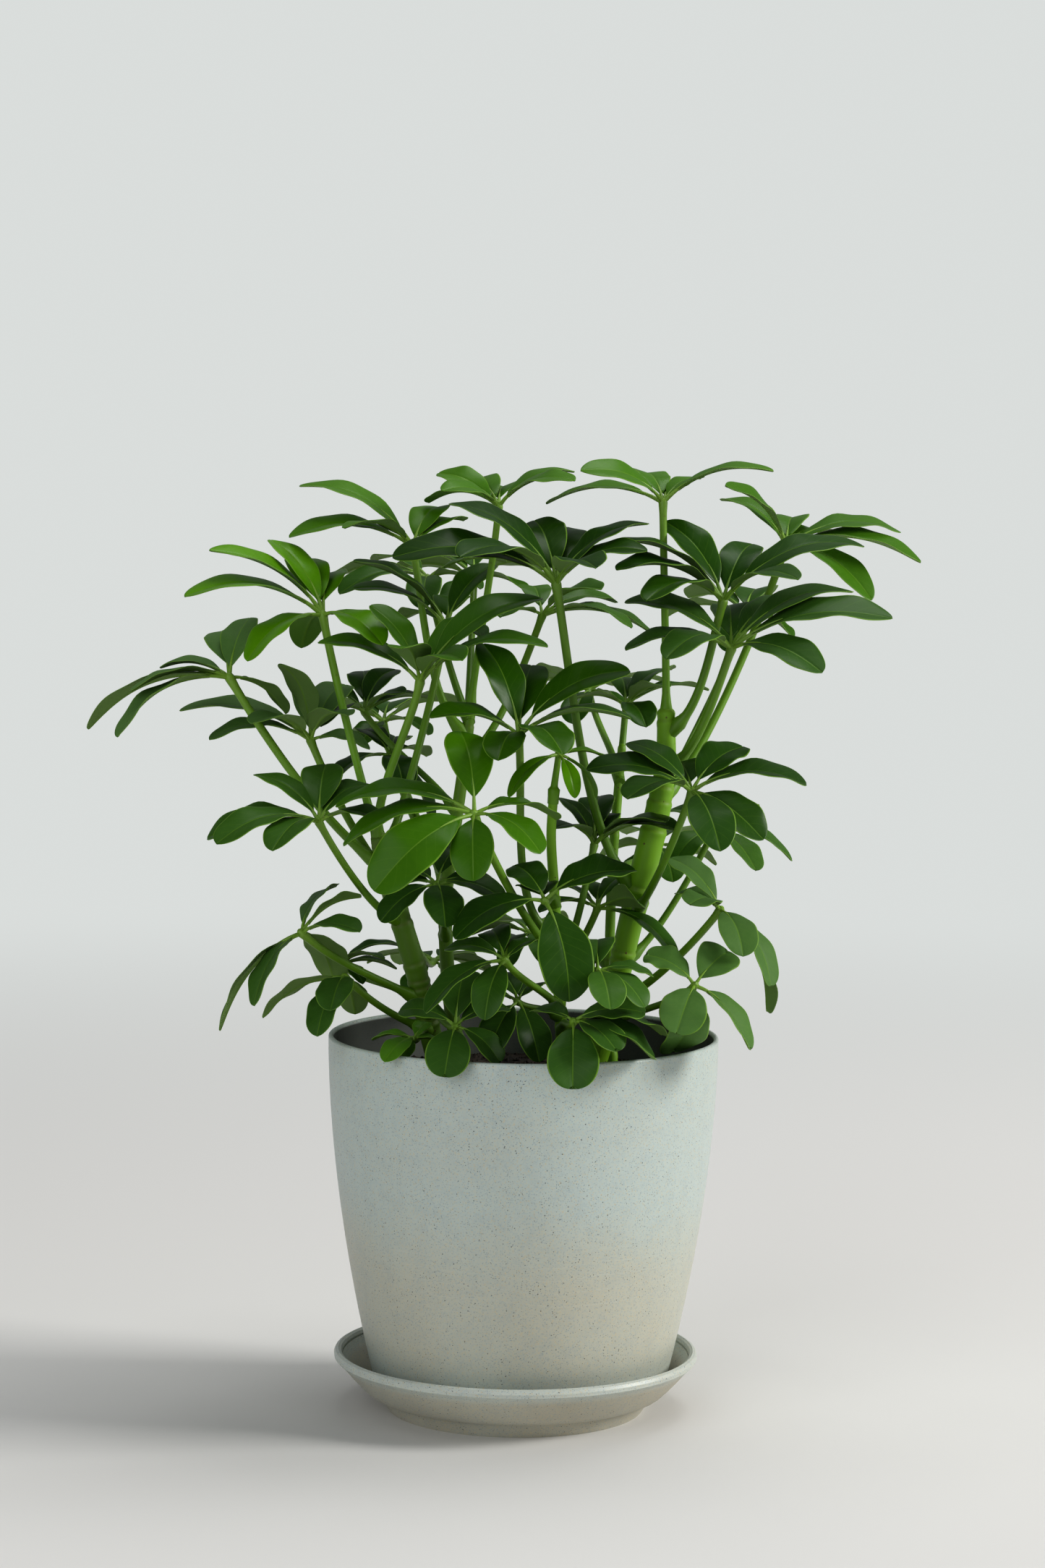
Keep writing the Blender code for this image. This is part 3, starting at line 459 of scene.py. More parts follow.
def leaflet_rings(leaf, leaflet, twist, room=0.0):
    """One blade: a thin strip along an arched midrib, narrow at its stalk and widest past its middle."""
    bearing, rise, length = leaflet
    hub = Vector(leaf.hub)
    along, side, over = leaflet_ways(leaf, bearing, rise, twist)
    widest = (BLADE_WIDTH + BLADE_WIDTH_PER_LENGTH * length) * leaf.breadth
    rings = []
    for place, share in LONG_OUTLINE if length >= LONG_FROM else SHORT_OUTLINE:
        middle = hub + along * length * place + over * ARCH * length * 4 * place * (1 - place)
        middle.z += SAG * length * place * (1 - place)
        half = max(widest * share, STALK_WIDTH) / 2 + room
        slope = ARCH * 4 * (1 - 2 * place)
        upright = (over - along * slope).normalized() * (BLADE_THICKNESS / 2 + room)
        rings.append([middle - side * half - upright, middle + side * half - upright,
                      middle + side * half + upright, middle - side * half + upright])
    return rings


class Thicket:
    """Everything that stands in place so far, to test a new piece against."""

    def __init__(self):
        self.standing = []

    def add(self, owner, body):
        """Put a piece in place under its owner's name."""
        self.standing.append((owner, *reach_of(body), BVHTree.FromPolygons(*body)))

    def is_clear(self, body, apart_from=()):
        """Whether a piece would cross nothing that stands, apart from what these owners have."""
        low, high = reach_of(body)
        tree = None
        for owner, other_low, other_high, other in self.standing:
            if owner in apart_from:
                continue
            if any(low[i] > other_high[i] or other_low[i] > high[i] for i in range(3)):
                continue
            tree = tree or BVHTree.FromPolygons(*body)
            if tree.overlap(other):
                return False
        return True


def reach_of(body):
    """The lowest and the highest corner of the box round a piece."""
    points = body[0]
    return (tuple(min(p[i] for p in points) for i in range(3)),
            tuple(max(p[i] for p in points) for i in range(3)))


def foot_gap(stalk, stem_tree):
    """How far a stalk's lower end is from its stem."""
    ring = stalk[0][:PETIOLE_SIDES]
    points = ring + [(a + b) / 2 for a, b in zip(ring, ring[1:] + ring[:1])]
    return min(stem_tree.find_nearest(point)[3] for point in points)


def settle_stalk(thicket, name):
    """How far round, up and closer the stalk's foot moves to clear the others, and the stalk then."""
    leaf = LEAVES[name]
    stem_tree = BVHTree.FromPolygons(*stem_body(STEMS[leaf.stem]))
    top = leaf.height >= STEMS[leaf.stem][-1][2]
    moves = [(0, 0)] if top else sorted(
        ((turn, rise) for turn in STALK_TURNS for rise in STALK_RISES),
        key=lambda move: abs(move[0]) + 2 * abs(move[1]),
    )
    for turn, rise in moves:
        closer = foot_gap(petiole(leaf, turn, rise), stem_tree) - GAP
        plain, roomy = (petiole(leaf, turn, rise, closer, room) for room in (0.0, STALK_ROOM))
        if thicket.is_clear(roomy, (name, leaf.stem)) and thicket.is_clear(plain, (name,)):
            return (turn, rise, closer), plain
    raise ValueError(f"{name}: its stalk finds no clear way")


def settle_leaflet(thicket, name, leaflet, twist, siblings):
    """The leaflet turned, lifted or shortened no more than it takes to clear the other leaves."""
    leaf = LEAVES[name]
    bearing, rise, length = leaflet
    moves = sorted(
        ((turn, lift, share) for share in BLADE_SHARES for turn in BLADE_TURNS for lift in BLADE_TURNS),
        key=lambda move: abs(move[0]) + abs(move[1]) + TURN_COST_OF_LENGTH * (1 - move[2]),
    )
    for turn, lift, share in moves:
        moved = (bearing + turn, rise + lift, length * share)
        blade = rings_to_mesh(leaflet_rings(leaf, moved, twist)[1:])
        roomy = rings_to_mesh(leaflet_rings(leaf, moved, twist, BLADE_ROOM))
        if siblings.is_clear(blade) and thicket.is_clear(roomy, (name,)):
            siblings.add(name, blade)
            return moved
    return None


class Grown(NamedTuple):
    """A leaf as it stands: how far its stalk's foot moved, and its leaflets, each with its twist."""

    foot: tuple
    leaflets: list


def grow():
    """Every leaf where the frame's stands, by the same rule: stalks first, then leaflet by leaflet."""
    thicket = Thicket()
    for name, stem in STEMS.items():
        thicket.add(name, stem_body(stem))
    for name, profile in (("pot", pot_profile()), ("saucer", SAUCER_PROFILE)):
        thicket.add(name, turned(profile))
    thicket.add("soil", turned([(DRAIN_RADIUS, SOIL_TOP), (SOIL_REACH, SOIL_TOP)]))
    for name, leaf in LEAVES.items():
        thicket.add(name, hub_knob(leaf))
    grown = {}
    for name in LEAVES:
        foot, stalk = settle_stalk(thicket, name)
        grown[name] = Grown(foot, [])
        thicket.add(name, stalk)
    for name, leaf in LEAVES.items():
        draw = random.Random(f"{SEED} {name}")
        siblings = Thicket()
        for bearing, rise, length, *turned_by in leaf.leaflets:
            twist = draw.uniform(-TWIST, TWIST) + sum(turned_by)
            moved = settle_leaflet(thicket, name, (bearing, rise, length), twist, siblings)
            if moved:
                grown[name].leaflets.append((moved, twist))
                thicket.add(name, rings_to_mesh(leaflet_rings(leaf, moved, twist)))
    return grown


def pot_radius(height):
    """The pot's outer radius at a height."""
    return RIM_RADIUS - TAPER * (RIM_HEIGHT - height) ** TAPER_POWER


def pot_profile():
    """The pot from its inner floor up over the rounded rim and down to the middle of its base."""
    base = pot_radius(POT_BASE)
    return [
        *((pot_radius(z) - POT_WALL, z) for z in (POT_BASE + POT_FLOOR, *WALL_HEIGHTS, SOIL_TOP)),
        (RIM_RADIUS - POT_WALL, RIM_HEIGHT - RIM_ROUND),
        (RIM_RADIUS - POT_WALL / 2, RIM_HEIGHT),
        (RIM_RADIUS, RIM_HEIGHT - RIM_ROUND),
        *((pot_radius(z), z) for z in (SOIL_TOP, *WALL_HEIGHTS[::-1], POT_BASE + POT_BASE_ROUND)),
        (base - POT_BASE_ROUND * 0.35, POT_BASE + POT_BASE_ROUND * 0.3),
        (base - POT_BASE_ROUND, POT_BASE),
    ]


def turned(profile):
    """Points and faces of a round body from (radius, height) pairs, with a flat face at each end."""
    return rings_to_mesh([
        [direction(360.0 * step / ROUND_STEPS, 0.0) * radius + Vector((0, 0, height))
         for step in range(ROUND_STEPS)]
        for radius, height in profile
    ])


def stem_body(stem):
    """One stem, with its root end straight down in the soil."""
    path = [Vector(stem[0]), *smooth_path(stem[1:], 2 * len(stem) - 6)]
    return tube([point.xyz for point in path], [point.w for point in path], STEM_SIDES)


# Finer forms than the frame's
PETIOLE_POINTS = 18
STALK_SIDES = 10
STALK_THIN = 1.2
STALK_PER_LENGTH = 0.0105
STEM_STEP = 1.0
STEM_RING_SIDES = 20
BLADE_ROWS = 24
HALF_COLUMNS = (0.0, 0.07, 0.22, 0.46, 0.72, 0.92, 0.98, 1.0)
TIP_CROWDING = 1.7
BASE_POWER = 0.78
TIP_POWER = 0.62
BLUNT_POWER = 0.2
STALK_POINTS = 8
STALK_RUN = 0.34
TURNED_STEPS = 160
INNER_RINGS = 30
OUTER_RINGS = 40
RIM_STEPS = 9
FOOT_STEPS = 7
SOIL_SIDE_RINGS = 12
SOIL_TOP_RINGS = 46
DRAIN_HOLE_SIDES = 24
# Edges that turn by more than this many degrees stay crisp
POT_SHARP = 30
SAUCER_SHARP = 40
# How far below the rim the pot's inner wall ends, and the angle in radians
# at which its foot starts to round
RIM_INNER_DROP = 2.0
FOOT_ROUND_FROM = 0.2

# A fine blade: where it starts along its leaflet, and its least half width
BLADE_START = 0.12
START_SPREAD = 0.04
LEAST_HALF_WIDTH = 0.7
# Waves along its edge, and how far one edge's waves are ahead of the other's
WAVES = 2.4
WAVE_SHIFT = 0.3
FOLD_POWER = 1.2
FOLD_LEVEL = 0.4
EDGE_SAG = 0.35
EDGE_THINNING = 0.45
# The shares of its half width up to which it is midrib, and from which it is edge
RIB_REACH = 0.01
EDGE_REACH = 0.999
RIB_DIP = 0.22
RIDGE_DEPTH = 0.45
RIDGE_LEAST = 0.1
NOTCH_FROM = 0.75
NOTCH_DEPTH = 1.3
TIP_POINT = 0.2
# How a blade is veined and edged: side veins along it, their slant, how strongly the midrib shows,
# and where on the way out from it the pale edge comes up, and how strongly; the pale edge is partly
# the leaf's own paler margin and partly a painted highlight where the edge catches the light
SIDE_VEINS = 8.5
VEIN_SLANT = 1.9
RIB_STRENGTH = 0.65
EDGE_HIGHLIGHT_BAND = (0.93, 0.965)
EDGE_HIGHLIGHT_STRENGTH = 0.75

# A leaflet's own stalk: its thickness, its taper, and where and how deep it runs out under the midrib
LEAFLET_STALK = 0.62
LEAFLET_STALK_PER_LENGTH = 0.006
STALK_AT_HUB = 1.15
STALK_TAPER = 0.95
STALK_TAPER_POWER = 1.5
SINK_FROM = 0.3
SINK_DEPTH = 0.6

# A petiole: its foot hidden in the stem, its swellings as (height, width), and its knob past the hub
SUNK = 2.5
SUNK_PER_THICKNESS = 2.8
SUNK_THICKNESS = (1.7, 1.75)
FOOT_SWELLING = (0.75, 0.06)
FOOT_FLARE = (0.12, 0.3)
HUB_SWELLING = (0.25, 0.04)
KNOB_REACH = (1.5, 2.6)
KNOB_THICKNESS = (1.05, 0.45)
STALK_PALENESS = 0.8
KNOB_PALENESS = 0.9

# A stem's rounded tip, as how far past its end and how thick there
STEM_TIP = ((1.2, 0.93), (2.2, 0.7), (2.8, 0.3))
# Its scars: the lowest one over the soil, then each one's ridge, groove and tint as (height, width)
FIRST_SCAR = 4.0
SCAR_RIDGE = (0.06, 1.6)
SCAR_GROOVE = (-0.05, 0.8)
SCAR_GROOVE_RISE = 1.9
SCAR_TINT = (1.0, 0.7)
SCAR_TINT_RISE = 1.4

# The soil's top: its rings from the edge to the middle, its dip, and how its lumps fade out at the edge
SOIL_EDGE_DROP = 0.5
SOIL_TOP_REACH = (0.985, 0.02)
SOIL_DIP_POWER = 6
MOUND_FADE = 4.0
# Its lumps, the heaps round its stems, and how flat a crumb may be
LUMP_SIZE = 14.0
LUMP_SLICE = 0.3
LUMP_FRACTAL = (0.9, 2.2, 5)
LUMP_HEIGHT = 1.7
HEAP_HEIGHT = 2.4
HEAP_REACH = 9.0
FULL_TURN = 6.28
LEAST_CRUMB = (0.55, 0.55, 0.35)
MOST_CRUMB = (1.0, 1.0, 0.8)

# The bead on the saucer's lip, with its fine lines
BEAD_RADIUS = 2.0
BEAD_TURN = (200.0, -75.0)
BEAD_STEPS = 26
BEAD_LINE_DEPTH = 0.12
BEAD_LINES = 9


class Look(NamedTuple):
    """How a leaf looks, each from 0 to 1: young and yellow-green, dusty, deep green partly as painted
    shade, blunt-tipped.
    """

    young: float = 0.12
    dusty: float = 0.08
    deep: float = 0.35
    blunt: float = 0.4


# The deep share is partly the darker green of old leaves and partly painted shade on leaves inside the
# crown
LOOKS = {
    "young_left": Look(0.9, 0.0, 0.0, 0.2),
    "new_shoot": Look(0.95, 0.0, 0.0, 0.2),
    "rosette": Look(0.7, 0.3, 0.0, 0.5),
    "front_left": Look(0.35, 0.0, 0.05, 0.6),
    "far_right": Look(0.4, 0.15, 0.1, 0.3),
    "mid_left": Look(0.35, 0.1, 0.15, 0.3),
    "top_left": Look(0.55, 0.1, 0.0, 0.3),
    "top_right": Look(0.5, 0.15, 0.0, 0.3),
    "top_middle": Look(0.5, 0.15, 0.0, 0.4),
    "far_left": Look(0.15, 1.0, 0.0, 0.3),
    "left_shaded": Look(0.1, 1.0, 0.0, 0.4),
    "lower_left": Look(0.1, 0.2, 0.3, 0.3),
    "upper_inner": Look(0.35, 0.2, 0.1, 0.4),
    "middle": Look(0.15, 0.0, 0.35, 0.4),
    "behind_right": Look(0.2, 0.35, 0.25, 0.6),
    "front_big": Look(0.0, 0.08, 0.5, 0.3),
    "upper_middle": Look(0.0, 0.0, 0.75, 0.4),
    "upper_right": Look(0.05, 0.05, 0.55, 0.4),
    "mid_right": Look(0.05, 0.3, 0.4, 0.4),
    "front_right": Look(0.0, 0.15, 0.55, 0.4),
    "centre_dark": Look(0.0, 0.0, 0.9, 0.5),
    "low_dark": Look(0.0, 0.2, 0.7, 0.7),
    "inner_left_high": Look(0.0, 0.0, 0.7, 0.4),
    "inner_left_low": Look(0.0, 0.0, 0.75, 0.4),
    "drooping_low_right": Look(0.35, 0.95, 0.0, 1.0),
    "drooping_right": Look(0.15, 0.9, 0.0, 0.8),
    "drooping_left": Look(0.15, 0.5, 0.1, 0.4),
    "drooping_low_left": Look(0.1, 0.4, 0.2, 0.6),
    "over_rim_right": Look(0.05, 0.3, 0.3, 0.9),
    "over_rim_left": Look(0.05, 0.3, 0.3, 0.9),
    "low_middle": Look(0.05, 0.2, 0.4, 0.5),
    "low_right": Look(0.15, 0.35, 0.25, 0.8),
    "inner_low": Look(0.0, 0.15, 0.5, 0.6),
}

# How bright and how dark a green each stem is, the dark share being painted shade on stems that
# stand in shade, and how far apart its old leaf scars sit
STEM_LOOKS = {
    "left": (0.3, 0.5, 24.0),
    "right": (0.75, 0.0, 26.0),
    "centre": (1.0, 0.0, 40.0),
    "back": (0.7, 0.2, 30.0),
    "inner": (0.4, 0.35, 24.0),
}


class Sum:
    """A number socket that can be reckoned with: each operator adds the Math node that does it."""

    def __init__(self, nodes, socket):
        self.nodes = nodes
        self.socket = socket

    def with_math(self, operation, *others, clamp=False):
        """This number put through a Math node."""
        values = dict(enumerate((self, *others)))
        return self.nodes.add("ShaderNodeMath", {"operation": operation, "use_clamp": clamp}, values)

    def __add__(self, other):
        return self.with_math("ADD", other)

    __radd__ = __add__

    def __sub__(self, other):
        return self.with_math("SUBTRACT", other)

    def __rsub__(self, other):
        return (self * -1.0) + other

    def __mul__(self, other):
        return self.with_math("MULTIPLY", other)

    def __truediv__(self, other):
        return self.with_math("DIVIDE", other)

    def __pow__(self, other):
        return self.with_math("POWER", other)

    def __lt__(self, other):
        return self.with_math("LESS_THAN", other)

    def __gt__(self, other):
        return self.with_math("GREATER_THAN", other)

    def clamped(self):
        """Held between 0 and 1."""
        return self.with_math("ADD", 0.0, clamp=True)

    def ramp(self, start, end):
        """0 up to start, 1 from end on, and smooth between; the other way round if end is the lower."""
        low, high = min(start, end), max(start, end)
        to = {"To Min": 0.0, "To Max": 1.0} if end > start else {"To Min": 1.0, "To Max": 0.0}
        return self.nodes.add("ShaderNodeMapRange", {"interpolation_type": "SMOOTHSTEP"},
                              {"Value": self, "From Min": low, "From Max": high, **to})


class Nodes:
    """A node tree being built, for a finish or for Geometry Nodes."""

    def __init__(self, tree):
        self.tree = tree

    def add(self, kind, settings=None, sockets=None, output=0):
        """One node: its settings first, then its sockets by name or number. Returns one output."""
        node = self.tree.nodes.new(kind)
        for name, value in (settings or {}).items():
            setattr(node, name, value)
        for key, value in (sockets or {}).items():
            socket = node.inputs[key]
            for each in value if isinstance(value, list) else [value]:
                if isinstance(each, Sum):
                    self.tree.links.new(each.socket, socket)
                else:
                    socket.default_value = each
        outputs = node.outputs
        return Sum(self, outputs[output]) if len(outputs) else None

    def mix(self, share, colour_a, colour_b, blend="MIX"):
        """Two colours mixed."""
        def as_colour(value):
            return value if isinstance(value, Sum) else (*value, 1.0)
        return self.add("ShaderNodeMix", {"data_type": "RGBA", "blend_type": blend, "clamp_factor": True},
                        {0: share, 6: as_colour(colour_a), 7: as_colour(colour_b)}, output=2)

    def attribute(self, name, output="Fac"):
        """A value that the piece's mesh carries."""
        return self.add("ShaderNodeAttribute", {"attribute_name": name}, output=output)

    def parts(self, vector):
        """The three numbers of a vector."""
        node = self.tree.nodes.new("ShaderNodeSeparateXYZ")
        self.tree.links.new(vector.socket, node.inputs[0])
        return [Sum(self, socket) for socket in node.outputs]

    def noise(self, where, scale, detail=3.0, roughness=0.55):
        """Cloudy noise, from 0 to 1."""
        return self.add("ShaderNodeTexNoise", {},
                        {"Vector": where, "Scale": scale, "Detail": detail, "Roughness": roughness})

    def dots(self, where, scale, radius, share, size_spread=0.5):
        """Round dots of uneven size in some of the cells of a scattered grid."""
        settings = {"feature": "F1"}
        sockets = {"Vector": where, "Scale": scale}
        distance = self.add("ShaderNodeTexVoronoi", settings, sockets)
        chance = self.parts(self.add("ShaderNodeTexVoronoi", settings, sockets, output="Color"))
        size = (chance[1] * size_spread + (1.0 - size_spread)) * radius
        return (distance / size).ramp(1.0, 0.75) * (chance[0] < share)


def clear(things, name):
    """Remove what an earlier run made under this name."""
    old = things.get(name)
    if old:
        things.remove(old)


def new_finish(name):
    """An empty material and its nodes."""
    clear(bpy.data.materials, name)
    material = bpy.data.materials.new(name)
    material.use_nodes = True
    material.node_tree.nodes.clear()
    return material, Nodes(material.node_tree)


def close_finish(nodes, colour, roughness, height=None, distance=0.0002, strength=0.5, **constants):
    """The Principled shader that ends a finish; what doesn't vary is set on its own sockets."""
    sockets = {"Base Color": colour, "Roughness": roughness, "Metallic": 0.0}
    if height is not None:
        sockets["Normal"] = nodes.add("ShaderNodeBump", {},
                                      {"Strength": strength, "Distance": distance, "Height": height})
    sockets.update({key.replace("_", " "): value for key, value in constants.items()})
    shader = nodes.add("ShaderNodeBsdfPrincipled", {}, sockets)
    nodes.add("ShaderNodeOutputMaterial", {}, {"Surface": shader})


def where_on(nodes, output="Object"):
    """Where a point is on its piece, in metres."""
    return nodes.add("ShaderNodeTexCoord", {}, output=output)


def blade_finish(look):
    """Leaf blades: tone by age and painted shade, a pale midrib, a pale edge that is partly a painted
    highlight, faint side veins, and a matt underside lightened partly as painted backlight.
    """
    material, nodes = new_finish("leaf_blade")
    place = where_on(nodes)
    across, along, _ = nodes.parts(nodes.add("ShaderNodeUVMap", {"uv_map": "blade"}))
    young, dusty, deep = nodes.parts(nodes.attribute("tone", "Color"))
    chance = nodes.attribute("tone", "Alpha")
    under = nodes.attribute("under").ramp(0.52, 0.6)
    off_rib = nodes.attribute("off_rib")
    side = (across - 0.5).with_math("ABSOLUTE") * 2.0
    cloud = nodes.noise(place, 45.0)
    mottle = nodes.noise(place, 420.0, 4.0)
    # Painted shade: the deep share darkens old leaves and leaves inside the crown; chance and cloud vary it
    # at random
    shade = deep + (chance - 0.5) * 0.35 + (cloud - 0.5) * 0.4
    colour = nodes.mix(shade.clamped(), look.middle_green, look.deep_green)
    # New leaves are brightest towards their tips
    new = young * (0.85 + along * 0.4) + (chance - 0.5) * 0.12
    colour = nodes.mix(new.clamped(), colour, look.young_green)
    colour = nodes.mix((dusty * (0.5 + cloud * 0.5)).clamped(), colour, look.dusty_green)
    colour = nodes.mix(((mottle - 0.4) * 0.9).clamped(), colour,
                       nodes.mix(1.0, colour, (1.35, 1.22, 1.25), "MULTIPLY"))
    # Side veins leave the midrib at a slant and fade towards the edge
    slant = along * SIDE_VEINS - side * VEIN_SLANT + (across > 0.5) * 0.5 + cloud * 0.35
    gap = (slant.with_math("FRACT") - 0.5).with_math("ABSOLUTE")
    vein = gap.ramp(0.06, 0.0) * side.ramp(1.0, 0.6) * along.ramp(0.02, 0.12) * along.ramp(0.97, 0.85)
    colour = nodes.mix(vein * look.vein_strength, colour, look.vein_and_edge_highlight_green)
    rib = off_rib.ramp(0.42, 0.14) * (1.0 - along * 0.55)
    colour = nodes.mix(rib * RIB_STRENGTH, colour, look.vein_and_edge_highlight_green)
    # Painted highlight: a pale band along the edge, partly the leaf's own paler margin
    colour = nodes.mix(side.ramp(*EDGE_HIGHLIGHT_BAND) * EDGE_HIGHLIGHT_STRENGTH, colour, look.vein_and_edge_highlight_green)
    # Undersides: a paler matt green, lightened further as painted light shining through from above, and
    # darkened by the painted shade
    below = nodes.mix((young * 0.6).clamped(), look.underside_and_backlight_green, look.young_green)
    below = nodes.mix((shade * 0.3).clamped(), below, look.middle_green)
    below = nodes.mix(off_rib.ramp(0.8, 0.3) * 0.5 + vein * 0.12, below, look.vein_and_edge_highlight_green)
    colour = nodes.mix(under, colour, below)
    roughness = look.gloss_roughness + under * 0.25 + dusty * 0.2 + (mottle - 0.5) * 0.12 - young * 0.05
    close_finish(nodes, colour, roughness.clamped(), Specular_IOR_Level=look.shine)
    return material


def stalk_finish(look):
    """Petioles and the leaflets' stalks: green below, pale and yellow-green towards the leaflets."""
    material, nodes = new_finish("leaf_stalk")
    place = where_on(nodes)
    young, _, deep = nodes.parts(nodes.attribute("tone", "Color"))
    pale = nodes.attribute("pale")
    cloud = nodes.noise(place, 90.0)
    colour = nodes.mix((young + (cloud - 0.4) * 0.5).clamped(), look.stalk_green, look.young_stalk)
    colour = nodes.mix((pale * 0.8).clamped(), colour, look.pale_stalk)
    # The stalks of deep leaves take a darker green too, partly as painted shade
    colour = nodes.mix((deep * 0.35).clamped(), colour, look.middle_green)
    freckle = nodes.dots(place, 420.0, 0.3, 0.35)
    colour = nodes.mix(freckle * 0.3, colour, (0.12, 0.08, 0.025))
    height = nodes.noise(place, 500.0, 2.0)
    close_finish(nodes, colour, 0.42 + cloud * 0.12, height, 0.00012, 0.35)
    return material


def stem_finish(look):
    """Stems: green skin with brown streaks, browner at the old leaf scars, with small raised brown dots."""
    material, nodes = new_finish("stem_skin")
    place = where_on(nodes)
    bright, dark, _ = nodes.parts(nodes.attribute("tone", "Color"))
    scar = nodes.attribute("scar")
    cloud = nodes.noise(place, 60.0)
    colour = nodes.mix((bright + (cloud - 0.5) * 0.4).clamped(), look.skin_green, look.bright_green)
    # Painted shade: stems that stand in shade are given a darker green
    colour = nodes.mix((dark + (cloud - 0.5) * 0.3).clamped(), colour, look.dark_green)
    stretched = nodes.add("ShaderNodeMapping", {}, {"Vector": place, "Scale": (1.0, 1.0, 0.12)})
    streak = nodes.noise(stretched, 500.0)
    colour = nodes.mix((streak - 0.5) * 0.6 * (1.0 - bright * 0.8), colour, look.brown)
    colour = nodes.mix((scar * cloud * 0.5).clamped(), colour, look.brown)
    dot = nodes.dots(place, 230.0, 0.16, 0.6)
    colour = nodes.mix(dot * 0.8, colour, look.dot_brown)
    height = dot * 0.8 + streak * 0.3 - scar * 0.4
    close_finish(nodes, colour, 0.46 + cloud * 0.16, height, 0.0003, 0.6)
    return material


def soil_finish(look):
    """Dark potting soil, finely crumbed, with a few pale grains."""
    material, nodes = new_finish("potting_soil")
    place = where_on(nodes)
    cloud = nodes.noise(place, 70.0, 5.0)
    crumb = nodes.noise(place, 480.0, 6.0, 0.7)
    colour = nodes.mix(((cloud - 0.4) * 1.6 + crumb - 0.4).clamped(), look.dark_brown, look.light_brown)
    grain = nodes.dots(place, 260.0, 0.2, 0.12)
    colour = nodes.mix(grain * 0.8, colour, look.grain)
    close_finish(nodes, colour, 0.92, crumb + grain * 0.3, 0.0012, 0.9)
    return material


def speckle(nodes, place, colour, look):
    """Sandy grain and fine dark, blue-grey and beige speckles over a glaze."""
    grain = nodes.noise(place, 1100.0, 2.0, 0.7)
    colour = nodes.mix(((grain - 0.5) * 1.6).clamped(), colour, look.beige)
    colour = nodes.mix(((0.5 - grain) * 1.3).clamped(), colour, look.blue_grey)
    for scale, radius, part, strength, tint in (
            (760.0, 0.36, 0.6, 0.55, look.beige), (980.0, 0.34, 0.8, 0.6, look.blue_grey),
            (900.0, 0.24, 0.5, 0.6, look.dark_speck), (560.0, 0.2, 0.5, 0.8, look.dark_speck)):
        colour = nodes.mix(nodes.dots(place, scale, radius, part) * strength, colour, tint)
    return colour


def pot_finish(look):
    """The pot's glaze: pale grey-green, warmer lower down, with fine speckles; its inner wall is painted
    dark as painted shade.
    """
    material, nodes = new_finish("speckled_glaze")
    place = where_on(nodes)
    _, _, height = nodes.parts(place)
    cloud = nodes.noise(place, 14.0, 3.0)
    warm = height.ramp(0.125, 0.07) * height.ramp(0.015, 0.04) * 0.7 + (cloud - 0.5) * 0.9
    colour = nodes.mix(warm.clamped(), look.glaze, look.warm_glaze)
    colour = nodes.mix((nodes.noise(place, 120.0, 4.0) - 0.45) * 0.5, colour, look.blue_grey)
    # A few faint pale lines run round the wall
    level = height + (nodes.noise(place, 9.0, 2.0) - 0.5) * 0.02
    line = (level * 160.0).with_math("FRACT").ramp(0.05, 0.0)
    line = line * level.ramp(0.055, 0.07) * level.ramp(0.1, 0.085)
    colour = nodes.mix(line * cloud * 0.5, colour, look.pale_line)
    colour = speckle(nodes, place, colour, look)
    # Painted shade: the inner wall is darkened as if it lay in the shade inside the pot
    colour = nodes.mix(nodes.attribute("inner") * 0.9, colour, look.inside)
    bump = nodes.noise(place, 260.0, 3.0)
    close_finish(nodes, colour, look.glaze_roughness + (cloud - 0.5) * 0.1, bump, 0.0002, 0.25)
    return material


def saucer_finish(look):
    """The saucer's glaze: browner than the pot's."""
    material, nodes = new_finish("speckled_saucer_glaze")
    place = where_on(nodes)
    _, _, height = nodes.parts(place)
    cloud = nodes.noise(place, 18.0, 3.0)
    warm = height.ramp(0.0245, 0.02) * 0.6 + (cloud - 0.5) * 0.8
    colour = nodes.mix(warm.clamped(), look.saucer_glaze, look.saucer_warm)
    colour = nodes.mix((nodes.noise(place, 140.0, 4.0) - 0.45) * 0.5, colour, look.blue_grey)
    colour = speckle(nodes, place, colour, look)
    close_finish(nodes, colour, look.glaze_roughness, nodes.noise(place, 260.0, 3.0), 0.0002, 0.25)
    return material


def backdrop_finish(colour, backdrop):
    """The plain pale floor, which far away fades into the backdrop."""
    material, nodes = new_finish("pale_floor")
    place = where_on(nodes)
    x, y, _ = nodes.parts(place)
    far = ((x * x + y * y) ** 0.5).ramp(0.35, 2.2)
    tint = nodes.mix(far, colour, (0.0, 0.0, 0.0))
    glow = nodes.mix(far, (0.0, 0.0, 0.0), backdrop)
    close_finish(nodes, tint, 0.7, Emission_Color=glow, Emission_Strength=1.0, Specular_IOR_Level=0.0)
    return material


def new_piece(name, verts, edges, faces, finish, data, uv=None):
    """A new object from points in millimetres, with values per point and a UV map from two of them."""
    clear(bpy.data.objects, name)
    mesh = bpy.data.meshes.new(name)
    mesh.from_pydata((np.asarray(verts) * MM).tolist(), edges, faces)
    for key, values in data.items():
        values = np.asarray(values, dtype=np.float32)
        if values.ndim == 2:
            mesh.attributes.new(key, "FLOAT_COLOR", "POINT").data.foreach_set("color", values.ravel())
        else:
            mesh.attributes.new(key, "FLOAT", "POINT").data.foreach_set("value", values)
    if uv is not None:
        layer = mesh.uv_layers.new(name="blade")
        corners = np.empty(len(mesh.loops), dtype=np.int32)
        mesh.loops.foreach_get("vertex_index", corners)
        layer.data.foreach_set("uv", np.asarray(uv, dtype=np.float32)[corners].ravel())
    mesh.materials.append(finish)
    mesh.shade_smooth()
    piece = bpy.data.objects.new(name, mesh)
    bpy.context.scene.collection.objects.link(piece)
    return piece


